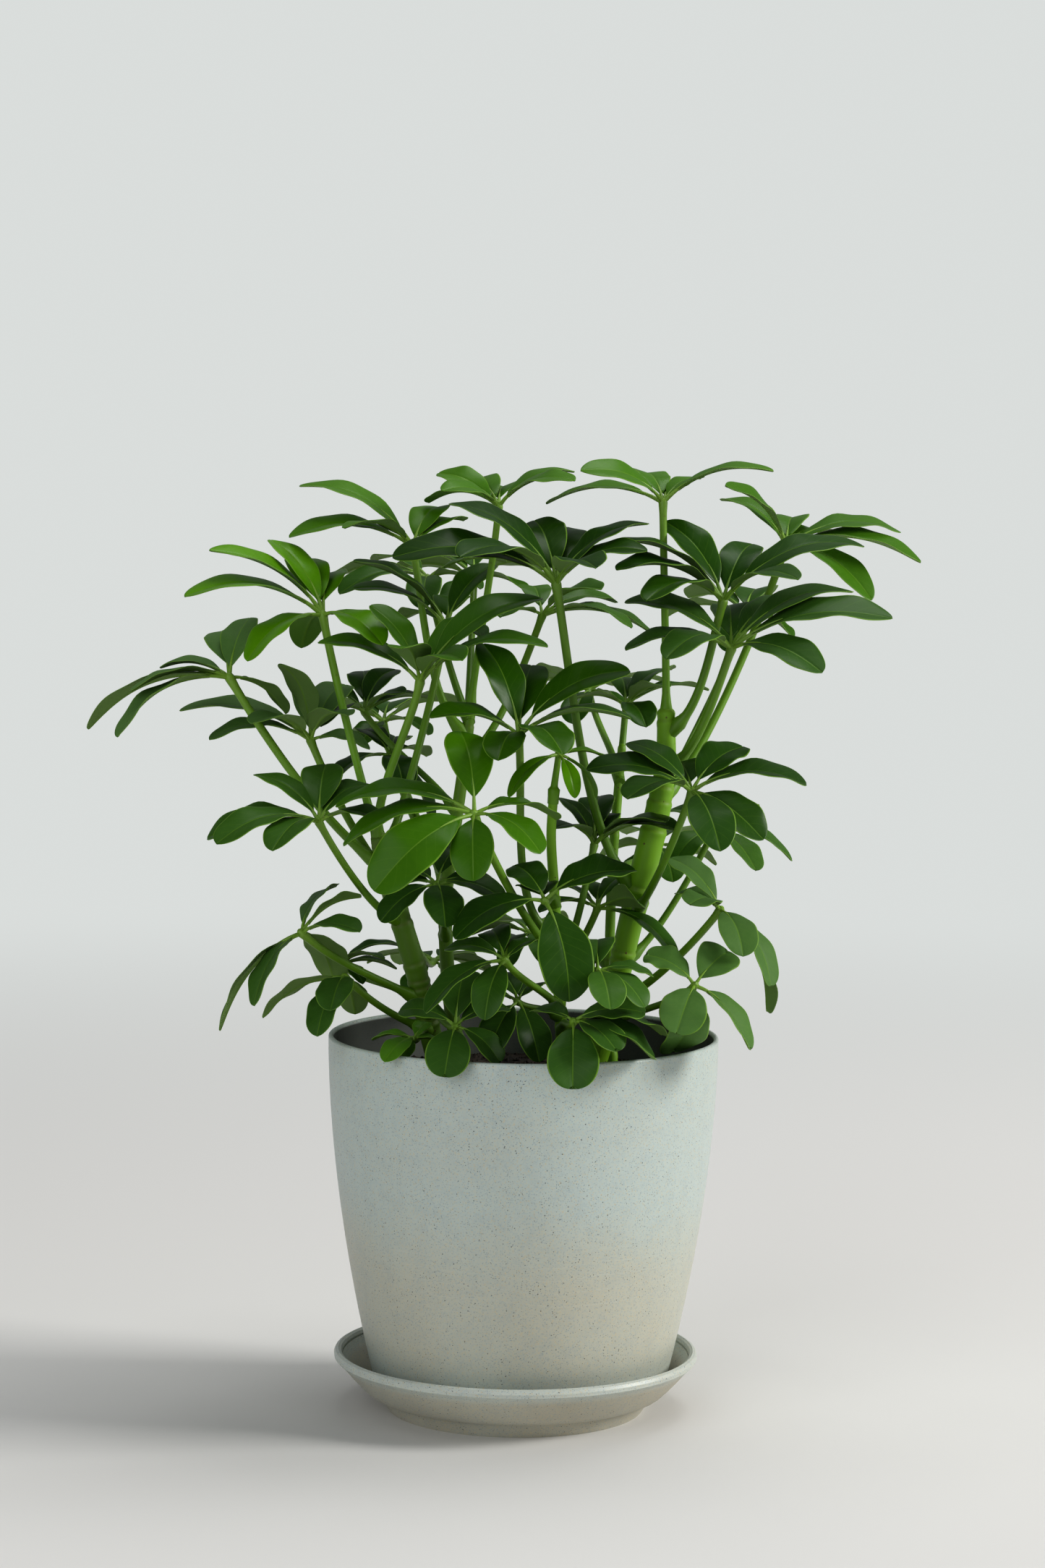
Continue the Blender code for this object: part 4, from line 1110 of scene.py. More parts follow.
def new_tree(name, inputs):
    """An empty Geometry Nodes tree with a Geometry input and these named ones, and their outputs."""
    clear(bpy.data.node_groups, name)
    tree = bpy.data.node_groups.new(name, "GeometryNodeTree")
    tree.is_modifier = True
    tree.interface.new_socket("Geometry", in_out="INPUT", socket_type="NodeSocketGeometry")
    for title, (kind, default) in inputs.items():
        socket = tree.interface.new_socket(title, in_out="INPUT", socket_type=f"NodeSocket{kind}")
        if default is not None:
            socket.default_value = default
    tree.interface.new_socket("Geometry", in_out="OUTPUT", socket_type="NodeSocketGeometry")
    nodes = Nodes(tree)
    entry = tree.nodes.new("NodeGroupInput")
    return nodes, {socket.name: Sum(nodes, socket) for socket in entry.outputs if socket.name}


def tube_tree():
    """Turns an object's loose edges into round tubes as thick as each point says."""
    nodes, given = new_tree("Round tubes", {
        "Sides": ("Int", 10), "Finish": ("Material", None),
    })
    loose = nodes.add("GeometryNodeInputMeshEdgeNeighbors") < 0.5
    settings = {"domain": "EDGE"}
    sockets = {"Geometry": given["Geometry"], "Selection": loose}
    split = nodes.add("GeometryNodeSeparateGeometry", settings, sockets)
    rest = Sum(nodes, split.socket.node.outputs["Inverted"])
    curve = nodes.add("GeometryNodeMeshToCurve", {}, {"Mesh": split})
    thick = nodes.add("GeometryNodeInputNamedAttribute", {"data_type": "FLOAT"}, {"Name": "thick"})
    ring = nodes.add("GeometryNodeCurvePrimitiveCircle", {}, {"Resolution": given["Sides"], "Radius": 1.0})
    tubes = nodes.add("GeometryNodeCurveToMesh", {},
                      {"Curve": curve, "Profile Curve": ring, "Scale": thick, "Fill Caps": True})
    tubes = nodes.add("GeometryNodeSetShadeSmooth", {}, {"Geometry": tubes})
    tubes = nodes.add("GeometryNodeRealizeInstances", {}, {"Geometry": tubes})
    tubes = nodes.add("GeometryNodeSetMaterial", {}, {"Geometry": tubes, "Material": given["Finish"]})
    joined = nodes.add("GeometryNodeJoinGeometry", {}, {"Geometry": [tubes, rest]})
    nodes.add("NodeGroupOutput", {}, {"Geometry": joined})
    return nodes.tree


def crumb_tree():
    """Scatters small uneven crumbs over the faces that the piece's own value marks."""
    nodes, given = new_tree("Soil crumbs", {
        "Per square metre": ("Float", 90000.0), "Smallest": ("Float", 0.0007), "Largest": ("Float", 0.0026),
        "Seed": ("Int", 3), "Finish": ("Material", None),
    })
    top = nodes.add("GeometryNodeInputNamedAttribute", {"data_type": "FLOAT"}, {"Name": "top"})
    points = nodes.add("GeometryNodeDistributePointsOnFaces", {}, {
        "Mesh": given["Geometry"], "Density": given["Per square metre"] * top, "Seed": given["Seed"]})
    ball = nodes.add("GeometryNodeMeshIcoSphere", {}, {"Radius": 1.0, "Subdivisions": 1})
    drawn = "FunctionNodeRandomValue"
    settings = {"data_type": "FLOAT_VECTOR"}
    turn = nodes.add(drawn, settings,
                     {"Min": (0.0, 0.0, 0.0), "Max": (FULL_TURN,) * 3, "Seed": given["Seed"]})
    shape = nodes.add(drawn, settings, {"Min": LEAST_CRUMB, "Max": MOST_CRUMB, "Seed": given["Seed"] + 1})
    chance = nodes.add(drawn, {"data_type": "FLOAT"}, {"Seed": given["Seed"] + 2}, output=1)
    size = given["Smallest"] + (given["Largest"] - given["Smallest"]) * chance ** 3
    shape = nodes.add("ShaderNodeVectorMath", {"operation": "SCALE"}, {"Vector": shape, "Scale": size})
    crumbs = nodes.add("GeometryNodeInstanceOnPoints", {}, {
        "Points": points, "Instance": ball, "Rotation": turn, "Scale": shape})
    crumbs = nodes.add("GeometryNodeRealizeInstances", {}, {"Geometry": crumbs})
    joined = nodes.add("GeometryNodeJoinGeometry", {}, {"Geometry": [crumbs, given["Geometry"]]})
    joined = nodes.add("GeometryNodeSetMaterial", {}, {"Geometry": joined, "Material": given["Finish"]})
    nodes.add("NodeGroupOutput", {}, {"Geometry": joined})
    return nodes.tree


def bake(piece):
    """Keep what the piece's modifiers make as its own mesh."""
    depsgraph = bpy.context.evaluated_depsgraph_get()
    depsgraph.update()
    mesh = bpy.data.meshes.new_from_object(piece.evaluated_get(depsgraph))
    piece.modifiers.clear()
    first = piece.data
    piece.data = mesh
    bpy.data.meshes.remove(first)
    mesh.name = piece.name


def make_plain(piece, tree, inputs):
    """Run a Geometry Nodes tree on the piece and keep what it makes as the piece's own mesh."""
    modifier = piece.modifiers.new(tree.name, "NODES")
    modifier.node_group = tree
    for item in tree.interface.items_tree:
        if item.item_type == "SOCKET" and item.in_out == "INPUT" and item.name in inputs:
            modifier[item.identifier] = inputs[item.name]
    bake(piece)


def dress(piece, node):
    """Put a finished piece in the place of its node."""
    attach(piece, "root")
    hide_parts(node)


class Form(NamedTuple):
    """What makes a leaflet differ from its neighbours."""

    sweep: float
    droop: float
    roll: float
    fold: float
    wave: float
    phase: float
    chance: float
    blunt: float


def draw_form(draw, look, leaf_look):
    """A leaflet's form, drawn round the leaf's."""
    return Form(
        sweep=draw.uniform(-0.05, 0.05),
        droop=draw.uniform(-0.01, 0.05),
        roll=draw.uniform(-12.0, 12.0),
        fold=look.fold * draw.uniform(0.5, 1.5),
        wave=look.wave * draw.uniform(0.5, 1.6),
        phase=draw.random(),
        chance=draw.random(),
        blunt=min(max(leaf_look.blunt + draw.uniform(-0.2, 0.2), 0.0), 1.0),
    )


class Midrib:
    """A leaflet's midrib from 0, the hub, to 1, its tip: points, and the ways along, across and up."""

    def __init__(self, leaf, moved, twist, form, places):
        bearing, rise, length = moved
        along, side, over = leaflet_ways(leaf, bearing, rise, twist)
        place = np.asarray(places)[:, None]
        bow = place * (1 - place)
        tip = np.clip(place - 0.5, 0.0, None) ** 2 * 4
        self.length = length
        self.points = (np.array(leaf.hub) + np.array(along) * length * place
                       + np.array(over) * length * (ARCH * 4 * bow - form.droop * tip)
                       + np.array((0.0, 0.0, SAG)) * length * bow
                       + np.array(side) * form.sweep * length * (place ** 2 - place * 0.4))
        self.along = unit(np.gradient(self.points, axis=0))
        flat = unit(np.array(side) - self.along * (self.along @ np.array(side))[:, None])
        up = np.cross(flat, self.along)
        turn = np.radians(form.roll) * place
        self.across = flat * np.cos(turn) + up * np.sin(turn)
        self.up = np.cross(self.across, self.along)


def unit(vectors):
    """Vectors made one long."""
    return vectors / np.linalg.norm(vectors, axis=-1, keepdims=True)


def width_share(place, blunt):
    """A leaflet's half width at places from its base to its tip, as a share of its widest."""
    tip_power = TIP_POWER - BLUNT_POWER * blunt
    peak = BASE_POWER / (BASE_POWER + tip_power)
    widest = peak ** BASE_POWER * (1 - peak) ** tip_power
    return place ** BASE_POWER * (1 - place) ** tip_power / widest


class Heap:
    """Points, edges, faces and values per point, gathered from many small pieces of one leaf."""

    def __init__(self):
        self.verts = []
        self.edges = []
        self.faces = []
        self.data = {key: [] for key in ("thick", "pale", "off_rib", "under", "uv", "tone")}
        self.count = 0

    def add(self, verts, edges=(), faces=(), **values):
        """Add one piece; a value that is one number goes to all its points."""
        size = len(verts)
        self.verts.append(np.asarray(verts, dtype=float))
        self.edges += [tuple(index + self.count for index in edge) for edge in edges]
        self.faces += [tuple(index + self.count for index in face) for face in faces]
        for key, rows in self.data.items():
            width = {"uv": (2,), "tone": (4,)}.get(key, ())
            rows.append(np.broadcast_to(np.asarray(values.get(key, 0.0), dtype=float), (size, *width)))
        self.count += size

    def piece(self, name, finish):
        """All of it as one object."""
        data = {key: np.concatenate(rows) for key, rows in self.data.items()}
        uv = data.pop("uv")
        return new_piece(name, np.concatenate(self.verts), self.edges, self.faces, finish, data, uv)


def chain(count):
    """The edges from point to point along a path."""
    return [(index, index + 1) for index in range(count - 1)]


def add_blade(heap, leaf, moved, twist, form, look, tone):
    """One leaflet's blade: folded along its midrib, waved at its edges, thin, and ribbed underneath."""
    start = BLADE_START + START_SPREAD * form.phase
    spread = np.linspace(0.0, 1.0, BLADE_ROWS + 1)[:-1]
    share = 1 - (1 - spread) ** TIP_CROWDING
    rib = Midrib(leaf, moved, twist, form, [*(start + (1 - start) * share), 1.0])
    widest = (BLADE_WIDTH + BLADE_WIDTH_PER_LENGTH * rib.length) * leaf.breadth / 2
    half = np.maximum(widest * width_share(share, form.blunt), LEAST_HALF_WIDTH)[:, None]
    side = np.array([*(-x for x in HALF_COLUMNS[:0:-1]), *HALF_COLUMNS])
    reach = np.abs(side)
    ripple = np.sin(2 * np.pi * (share[:, None] * WAVES + form.phase + WAVE_SHIFT * (side > 0))) * form.wave
    lift = half * (form.fold * (reach ** FOLD_POWER - FOLD_LEVEL) - form.fold * EDGE_SAG * reach ** 4
                   + ripple * reach ** 2)
    lift = np.where(reach < RIB_REACH, lift - RIB_DIP, lift)
    thin = look.blade_thickness / MM / 2 * (1 - EDGE_THINNING * reach ** 3) * (reach < EDGE_REACH)
    ridge = np.where(reach < RIB_REACH, RIDGE_DEPTH * (1 - share[:, None]) + RIDGE_LEAST, 0.0)
    middle, across, up = (rows[:-1, None, :] for rows in (rib.points, rib.across, rib.up))
    base = middle + across * (side * half)[..., None]
    top = base + up * (lift + thin)[..., None]
    bottom = (base + up * (lift - thin - ridge)[..., None])[:, -2:0:-1]
    size = len(side) * 2 - 2
    verts = np.concatenate((top, bottom), axis=1).reshape(-1, 3)
    notch = NOTCH_DEPTH * form.blunt * leaf.breadth if form.blunt > NOTCH_FROM else -TIP_POINT
    tip = rib.points[-1] - rib.along[-1] * notch + rib.up[-1] * lift[-1, len(side) // 2]
    verts = np.concatenate((verts, tip[None]))
    faces = ring_faces(BLADE_ROWS, size)
    del faces[1]
    last = (BLADE_ROWS - 1) * size
    faces += [(last + column, last + (column + 1) % size, last + size) for column in range(size)]

    def per_point(top_values, bottom_values, tip_value):
        rows = np.concatenate((top_values, bottom_values[:, -2:0:-1]), axis=1).reshape(-1)
        return np.append(rows, tip_value)

    grid = np.ones((BLADE_ROWS, 1)) * side
    edge = np.where(reach > EDGE_REACH, 0.5, 0.0) * np.ones((BLADE_ROWS, 1))
    off_rib = reach * half
    u, v, from_rib = (per_point(rows, rows, at_tip) for rows, at_tip in (
        (0.5 + grid / 2, 0.5), (share[:, None] + grid * 0, 1.0), (off_rib, 0.0)))
    heap.add(verts, faces=faces, off_rib=from_rib, uv=np.stack((u, v), axis=1),
             under=per_point(edge, 1 - edge, 0.5), tone=(*tone, form.chance))


def add_leaflet_stalk(heap, leaf, moved, twist, form, tone):
    """A leaflet's own stalk, from inside the hub's knob until it runs out under the midrib."""
    rib = Midrib(leaf, moved, twist, form, np.linspace(0.0, STALK_RUN, STALK_POINTS))
    share = np.linspace(0.0, 1.0, STALK_POINTS)
    taper = STALK_AT_HUB - STALK_TAPER * share ** STALK_TAPER_POWER
    thick = (LEAFLET_STALK + LEAFLET_STALK_PER_LENGTH * rib.length) * taper
    sink = np.clip(share - SINK_FROM, 0.0, None) * SINK_DEPTH
    heap.add(rib.points - rib.up * sink[:, None], edges=chain(STALK_POINTS), thick=thick * MM,
             pale=1.0, tone=(*tone, form.chance))


def bell(offset, height, width):
    """A swelling of this height in the middle, falling smoothly to nothing on both sides."""
    return height * np.exp(-(offset / width) ** 2)


def add_petiole(heap, leaf, foot, tone):
    """The leaf's stalk, swollen where it clasps the stem, and ended in a rounded knob at the hub."""
    bends = petiole_curve(leaf, *foot)
    path = bezier(bends, PETIOLE_POINTS)
    thin = STALK_THIN + STALK_PER_LENGTH * max(leaflet[2] for leaflet in leaf.leaflets)
    back = (path[0] - path[1]).normalized()
    end = (path[-1] - path[-2]).normalized()
    sunk = SUNK_PER_THICKNESS * thin + SUNK
    path = [path[0] + back * sunk, path[0] + back * sunk * 0.5, *path,
            *(bends[3] + end * reach for reach in KNOB_REACH)]
    share = np.linspace(0.0, 1.0, PETIOLE_POINTS + 1)
    swelling = bell(share, *FOOT_SWELLING) + bell(share, *FOOT_FLARE) + bell(1 - share, *HUB_SWELLING)
    thick = thin * (1 + swelling)
    thick = np.array([*(thin * part for part in SUNK_THICKNESS), *thick,
                      *(thin * part for part in KNOB_THICKNESS)])
    pale = np.array([0.0, 0.0, *(share ** 3 * STALK_PALENESS), KNOB_PALENESS, KNOB_PALENESS])
    heap.add([tuple(point) for point in path], edges=chain(len(path)), thick=thick * MM, pale=pale,
             tone=(*tone, 0.5))


def stem_points(name, stem):
    """A stem's fine path, how thick it is along it and how much of a scar each point is."""
    _, _, spacing = STEM_LOOKS[name]
    draw = random.Random(f"{SEED} {name} scars")
    count = int((stem[-1][2] - stem[0][2]) / STEM_STEP)
    rough = [Vector(stem[0]), *smooth_path(stem[1:], count)]
    tip = (rough[-1] - rough[-2]).xyz.normalized()
    path = np.array([point[:3] for point in rough]
                    + [tuple(rough[-1].xyz + tip * step) for step, _ in STEM_TIP])
    radius = np.array([point.w for point in rough] + [rough[-1].w * part for _, part in STEM_TIP])
    height = path[:, 2]
    scars = [leaf.height for leaf in LEAVES.values() if STEMS[leaf.stem] is stem]
    level = SOIL_TOP + FIRST_SCAR
    while level < stem[-1][2]:
        scars.append(level)
        level += spacing * draw.uniform(0.6, 1.4)
    scar = np.zeros(len(path))
    for level in scars:
        offset = height - level
        radius = radius * (1 + bell(offset, *SCAR_RIDGE) + bell(offset - SCAR_GROOVE_RISE, *SCAR_GROOVE))
        scar = np.maximum(scar, bell(offset - SCAR_TINT_RISE, *SCAR_TINT))
    return path, radius, scar


def mound(x, y):
    """How high the soil's uneven top stands over its middle level at a place, in millimetres."""
    place = Vector((x / LUMP_SIZE, y / LUMP_SIZE, LUMP_SLICE))
    lumps = noise.fractal(place, *LUMP_FRACTAL) * LUMP_HEIGHT
    heaped = sum(HEAP_HEIGHT * math.exp(-math.dist((x, y), stem[0][:2]) / HEAP_REACH)
                 for stem in STEMS.values())
    return lumps + heaped


def turned_rings(profile):
    """Points and faces of a finely turned body from (radius, height) pairs, with flat ends."""
    turns = np.linspace(0.0, 2 * np.pi, TURNED_STEPS, endpoint=False)
    around = np.stack((np.cos(turns), np.sin(turns), np.zeros(TURNED_STEPS)), axis=1)
    verts = np.concatenate([around * radius + (0, 0, height) for radius, height in profile])
    return verts, ring_faces(len(profile), TURNED_STEPS)


def rounded(profile, count):
    """The profile as a smooth curve through its points, count points to each span."""
    return [(point.x, point.y) for point in smooth_path([(r, z, 0.0) for r, z in profile],
                                                        count * (len(profile) - 1))]


def face_out(piece, sharp=None):
    """Turn the piece's faces outwards, and keep edges sharper than this many degrees crisp."""
    form = bmesh.new()
    form.from_mesh(piece.data)
    bmesh.ops.recalc_face_normals(form, faces=form.faces)
    form.to_mesh(piece.data)
    form.free()
    if sharp:
        piece.data.set_sharp_from_angle(angle=math.radians(sharp))


def colour(name, description, default):
    """A colour that the user can change."""
    return FloatVectorProperty(name=name, description=description, subtype="COLOR", size=3,
                               min=0.0, max=1.0, default=default)


def amount(name, description, default, low, high, **options):
    """A size, a power or a number that the user can change."""
    return FloatProperty(name=name, description=description, default=default, min=low, max=high, **options)


def share(name, description, default):
    """A number from 0 to 1 that the user can change."""
    return amount(name, description, default, 0.0, 1.0, subtype="FACTOR")


class LeafSettings(bpy.types.PropertyGroup):
    """Sizes and colours of the leaves."""

    blade_thickness: amount("Blade thickness", "Thickness of a leaflet beside its midrib",
                            0.5 * MM, 0.2 * MM, 1.0 * MM, unit="LENGTH", precision=5)
    fold: share("Fold", "How steeply the halves of a blade rise from its midrib", 0.24)
    wave: share("Wave", "How much a blade's edges wave", 0.05)
    gloss_roughness: share("Roughness", "Roughness of the upper faces", 0.34)
    shine: share("Shine", "Strength of the blades' reflections", 0.16)
    vein_strength: share("Side veins", "How much the side veins show", 0.10)
    young_green: colour("Young green", "Yellow-green of new leaves", (0.100, 0.27, 0.003))
    middle_green: colour("Middle green", "Green of most leaves", (0.020, 0.080, 0.002))
    # Deep green is partly the colour of old leaves and partly painted shade
    deep_green: colour("Deep green", "Green of old, shaded leaves", (0.011, 0.040, 0.001))
    dusty_green: colour("Dusty green", "Bluish green of dusty leaves", (0.105, 0.205, 0.058))
    # Paler than the undersides' own green, as painted light shining through the leaves
    underside_and_backlight_green: colour("Underside", "Matt green of the lower faces", (0.170, 0.270, 0.080))
    # The edges take this colour partly as a painted highlight
    vein_and_edge_highlight_green: colour("Veins", "Pale green of midribs, veins and edges", (0.19, 0.34, 0.04))
    stalk_green: colour("Stalk", "Green of the leaf stalks", (0.115, 0.250, 0.007))
    young_stalk: colour("Young stalk", "Green of new leaf stalks", (0.15, 0.33, 0.01))
    pale_stalk: colour("Leaflet stalk", "Pale green of the leaflets' stalks", (0.21, 0.36, 0.04))


class StemSettings(bpy.types.PropertyGroup):
    """Colours of the stems."""

    skin_green: colour("Skin", "Yellow-green of the old stems", (0.13, 0.27, 0.010))
    bright_green: colour("Bright skin", "Green of the young stem", (0.20, 0.42, 0.010))
    # This darker green is painted shade
    dark_green: colour("Dark skin", "Green of the shaded stems", (0.045, 0.100, 0.008))
    brown: colour("Scars", "Brown of old leaf scars and streaks", (0.12, 0.075, 0.03))
    dot_brown: colour("Dots", "Reddish brown of the small dots", (0.10, 0.035, 0.012))


class SoilSettings(bpy.types.PropertyGroup):
    """Size and number of the soil's crumbs, and its colours."""

    per_area: amount("Crumbs per square metre", "How thickly crumbs lie", 90000.0, 0.0, 200000.0)
    largest: amount("Largest crumb", "Radius of the largest crumbs",
                    2.6 * MM, 0.5 * MM, 5.0 * MM, unit="LENGTH", precision=4)
    dark_brown: colour("Dark", "Colour of the soil's hollows", (0.014, 0.010, 0.007))
    light_brown: colour("Light", "Colour of drier crumbs", (0.07, 0.048, 0.032))
    grain: colour("Grains", "Colour of the pale grains", (0.32, 0.27, 0.20))


class GlazeSettings(bpy.types.PropertyGroup):
    """Colours of the pot's and the saucer's speckled glaze."""

    glaze: colour("Glaze", "Pale grey-green of the pot", (0.51, 0.58, 0.55))
    warm_glaze: colour("Warm glaze", "Beige tint lower on the pot", (0.53, 0.51, 0.41))
    saucer_glaze: colour("Saucer glaze", "Colour of the saucer", (0.56, 0.60, 0.55))
    saucer_warm: colour("Saucer tint", "Brown tint of the saucer", (0.45, 0.39, 0.28))
    blue_grey: colour("Blue-grey speckles", "Colour of the finest speckles", (0.26, 0.33, 0.37))
    beige: colour("Beige speckles", "Colour of the pale speckles", (0.60, 0.50, 0.30))
    dark_speck: colour("Dark speckles", "Colour of the dark speckles", (0.05, 0.05, 0.055))
    pale_line: colour("Pale lines", "Colour of the faint lines round the pot", (0.66, 0.70, 0.68))
    # The inner wall's colour is painted shade inside the pot
    inside: colour("Inner wall", "Colour of the pot's dark inner wall", (0.045, 0.048, 0.040))
    glaze_roughness: share("Roughness", "Roughness of the glaze", 0.42)


class StageSettings(bpy.types.PropertyGroup):
    """The floor and the lights."""

    floor_colour: colour("Floor", "Colour of the floor", (0.72, 0.71, 0.69))
    floor_size: amount("Floor size", "Side of the square floor", 6.0, 1.0, 20.0, unit="LENGTH")
    key_power: amount("Key light", "Power of the light from the right", 85.0, 0.0, 500.0, unit="POWER")
    fill_power: amount("Fill light", "Power of the light from the left", 34.0, 0.0, 500.0, unit="POWER")
    top_power: amount("Top light", "Power of the light from above", 30.0, 0.0, 500.0, unit="POWER")
    sky: share("Sky", "Brightness of the surroundings as a light", 0.22)
    backdrop: colour("Backdrop", "Colour of the surroundings behind the plant", (0.60, 0.62, 0.61))


class UMBRELLA_OT_pot(bpy.types.Operator):
    """Turn the pot with its rounded rim, foot and drain holes"""

    bl_idname = "umbrella_plant.pot"
    bl_label = "Pot"

    def execute(self, context):
        base = pot_radius(POT_BASE)
        inner = np.linspace(POT_BASE + POT_FLOOR, RIM_HEIGHT - RIM_INNER_DROP, INNER_RINGS)
        outer = np.linspace(RIM_HEIGHT - POT_WALL / 2, POT_BASE + POT_BASE_ROUND, OUTER_RINGS)
        lip = [(RIM_RADIUS - POT_WALL / 2 - math.cos(turn) * POT_WALL / 2,
                RIM_HEIGHT - POT_WALL / 2 + math.sin(turn) * POT_WALL / 2)
               for turn in np.linspace(0.0, math.pi, RIM_STEPS)]
        foot = [(base - POT_BASE_ROUND + math.cos(turn) * POT_BASE_ROUND,
                 POT_BASE + POT_BASE_ROUND - math.sin(turn) * POT_BASE_ROUND)
                for turn in np.linspace(FOOT_ROUND_FROM, math.pi / 2, FOOT_STEPS)]
        profile = [*((pot_radius(z) - POT_WALL, z) for z in inner), *lip,
                   *((pot_radius(z), z) for z in outer), *foot]
        finish = pot_finish(context.scene.umbrella_glaze)
        verts, faces = turned_rings(profile)
        # Marks the inner wall, where the glaze is darkened as painted shade
        within = np.repeat(np.arange(len(profile)) < len(inner), TURNED_STEPS)
        piece = new_piece("glazed_pot", verts, [], faces, finish, {"inner": within})
        face_out(piece, POT_SHARP)
        drill(piece, finish)
        dress(piece, "pot")
        return {"FINISHED"}


def drill(pot, finish):
    """Cut the drain holes through the pot's floor."""
    for hole in range(DRAIN_HOLES):
        place = direction(360.0 * hole / DRAIN_HOLES, 0.0) * DRAIN_CIRCLE
        path = [place + Vector((0, 0, z)) for z in (POT_BASE - POT_FLOOR, POT_BASE + 2 * POT_FLOOR)]
        verts, faces = tube(path, [DRAIN_RADIUS] * 2, DRAIN_HOLE_SIDES)
        drain = new_piece("drain", [tuple(point) for point in verts], [], faces, finish, {})
        face_out(drain, POT_SHARP)
        cut = pot.modifiers.new("Hole", "BOOLEAN")
        cut.operation = "DIFFERENCE"
        cut.solver = "EXACT"
        cut.object = drain
        bake(pot)
        bpy.data.objects.remove(drain)


class UMBRELLA_OT_saucer(bpy.types.Operator):
    """Turn the saucer with its ledge and its beaded lip"""

    bl_idname = "umbrella_plant.saucer"
    bl_label = "Saucer"

    def execute(self, context):
        finish = saucer_finish(context.scene.umbrella_glaze)
        verts, faces = turned_rings(saucer_rings())
        piece = new_piece("glazed_saucer", verts + np.array((SAUCER_OFFSET, 0, 0)), [], faces, finish, {})
        face_out(piece, SAUCER_SHARP)
        dress(piece, "saucer")
        return {"FINISHED"}


def saucer_rings():
    """The saucer's profile: well, ledge, flared wall, beaded lip with fine lines, and foot."""
    bead = []
    for turn in np.linspace(*BEAD_TURN, BEAD_STEPS):
        radius = BEAD_RADIUS + BEAD_LINE_DEPTH * math.sin(math.radians(turn * BEAD_LINES))
        bead.append((LIP_RADIUS - BEAD_RADIUS + radius * math.cos(math.radians(turn)),
                     LIP_MIDDLE + (LIP_TOP - LIP_BOTTOM) / 4 * radius * math.sin(math.radians(turn))))
    inside = rounded([(LEDGE_OUTER - 0.8, LEDGE_HEIGHT), (LEDGE_OUTER + 1.0, LEDGE_HEIGHT + 1.4),
                      (LIP_INNER - 3.2, LIP_BOTTOM - 2.2), (LIP_INNER - 0.4, LIP_BOTTOM + 2.0)], 5)
    outside = rounded([(LIP_RADIUS - 2.6, LIP_BOTTOM - 0.9), WALL_UPPER, WALL_LOWER,
                       (FOOT_TOP_RADIUS, FOOT_HEIGHT)], 6)
    return [(WELL_RADIUS, WELL_FLOOR), (LEDGE_INNER, LEDGE_HEIGHT), *inside, *bead, *outside,
            (FOOT_RADIUS + 0.6, 0.8), (FOOT_RADIUS, 0.0)]


class UMBRELLA_OT_soil(bpy.types.Operator):
    """Fill the pot with soil and strew crumbs over it"""

    bl_idname = "umbrella_plant.soil"
    bl_label = "Soil"

    def execute(self, context):
        look = context.scene.umbrella_soil
        floor = POT_BASE + POT_FLOOR + GAP
        levels = np.linspace(floor, SOIL_TOP - SOIL_EDGE_DROP, SOIL_SIDE_RINGS)
        sides = [(pot_radius(z) - POT_WALL - GAP, z) for z in levels]
        edge = sides[-1][0]
        tops = [(edge * part, SOIL_TOP - SOIL_DIP * (1 - part ** SOIL_DIP_POWER))
                for part in np.linspace(*SOIL_TOP_REACH, SOIL_TOP_RINGS)]
        verts, faces = turned_rings([*sides, *tops])
        first = len(sides) * TURNED_STEPS
        for index in range(first, len(verts)):
            x, y, _ = verts[index]
            fade = min((edge - math.hypot(x, y)) / MOUND_FADE, 1.0)
            verts[index, 2] += mound(x, y) * fade
        top = np.zeros(len(verts))
        top[first + TURNED_STEPS:] = 1.0
        finish = soil_finish(look)
        piece = new_piece("loose_soil", verts, [], faces, finish, {"top": top})
        face_out(piece)
        make_plain(piece, crumb_tree(), {"Per square metre": look.per_area, "Largest": look.largest,
                                         "Finish": finish})
        dress(piece, "soil")
        return {"FINISHED"}


class UMBRELLA_OT_stems(bpy.types.Operator):
    """Grow the stems with their old leaf scars"""

    bl_idname = "umbrella_plant.stems"
    bl_label = "Stems"

    def execute(self, context):
        finish = stem_finish(context.scene.umbrella_stems)
        tree = tube_tree()
        for name, stem in STEMS.items():
            bright, dark, _ = STEM_LOOKS[name]
            path, radius, scar = stem_points(name, stem)
            tone = np.tile((bright, dark, 0.0, 0.0), (len(path), 1))
            piece = new_piece(f"grown_stem_{name}", path, chain(len(path)), [], finish,
                              {"thick": radius * MM, "scar": scar, "tone": tone})
            make_plain(piece, tree, {"Sides": STEM_RING_SIDES, "Finish": finish})
            dress(piece, f"stem_{name}")
        return {"FINISHED"}


class UMBRELLA_OT_leaves(bpy.types.Operator):
    """Grow the compound leaves"""

    bl_idname = "umbrella_plant.leaves"
    bl_label = "Leaves"

    def execute(self, context):
        look = context.scene.umbrella_leaves
        blades, stalks = blade_finish(look), stalk_finish(look)
        tree = tube_tree()
        for name, (foot, leaflets) in grow().items():
            leaf, leaf_look = LEAVES[name], LOOKS.get(name, Look())
            tone = leaf_look[:3]
            draw = random.Random(f"{SEED} {name} form")
            heap = Heap()
            add_petiole(heap, leaf, foot, tone)
            for moved, twist in leaflets:
                form = draw_form(draw, look, leaf_look)
                add_leaflet_stalk(heap, leaf, moved, twist, form, tone)
                add_blade(heap, leaf, moved, twist, form, look, tone)
            piece = heap.piece(f"grown_{name}", blades)
            make_plain(piece, tree, {"Sides": STALK_SIDES, "Finish": stalks})
            dress(piece, f"leaf_{name}")
        return {"FINISHED"}


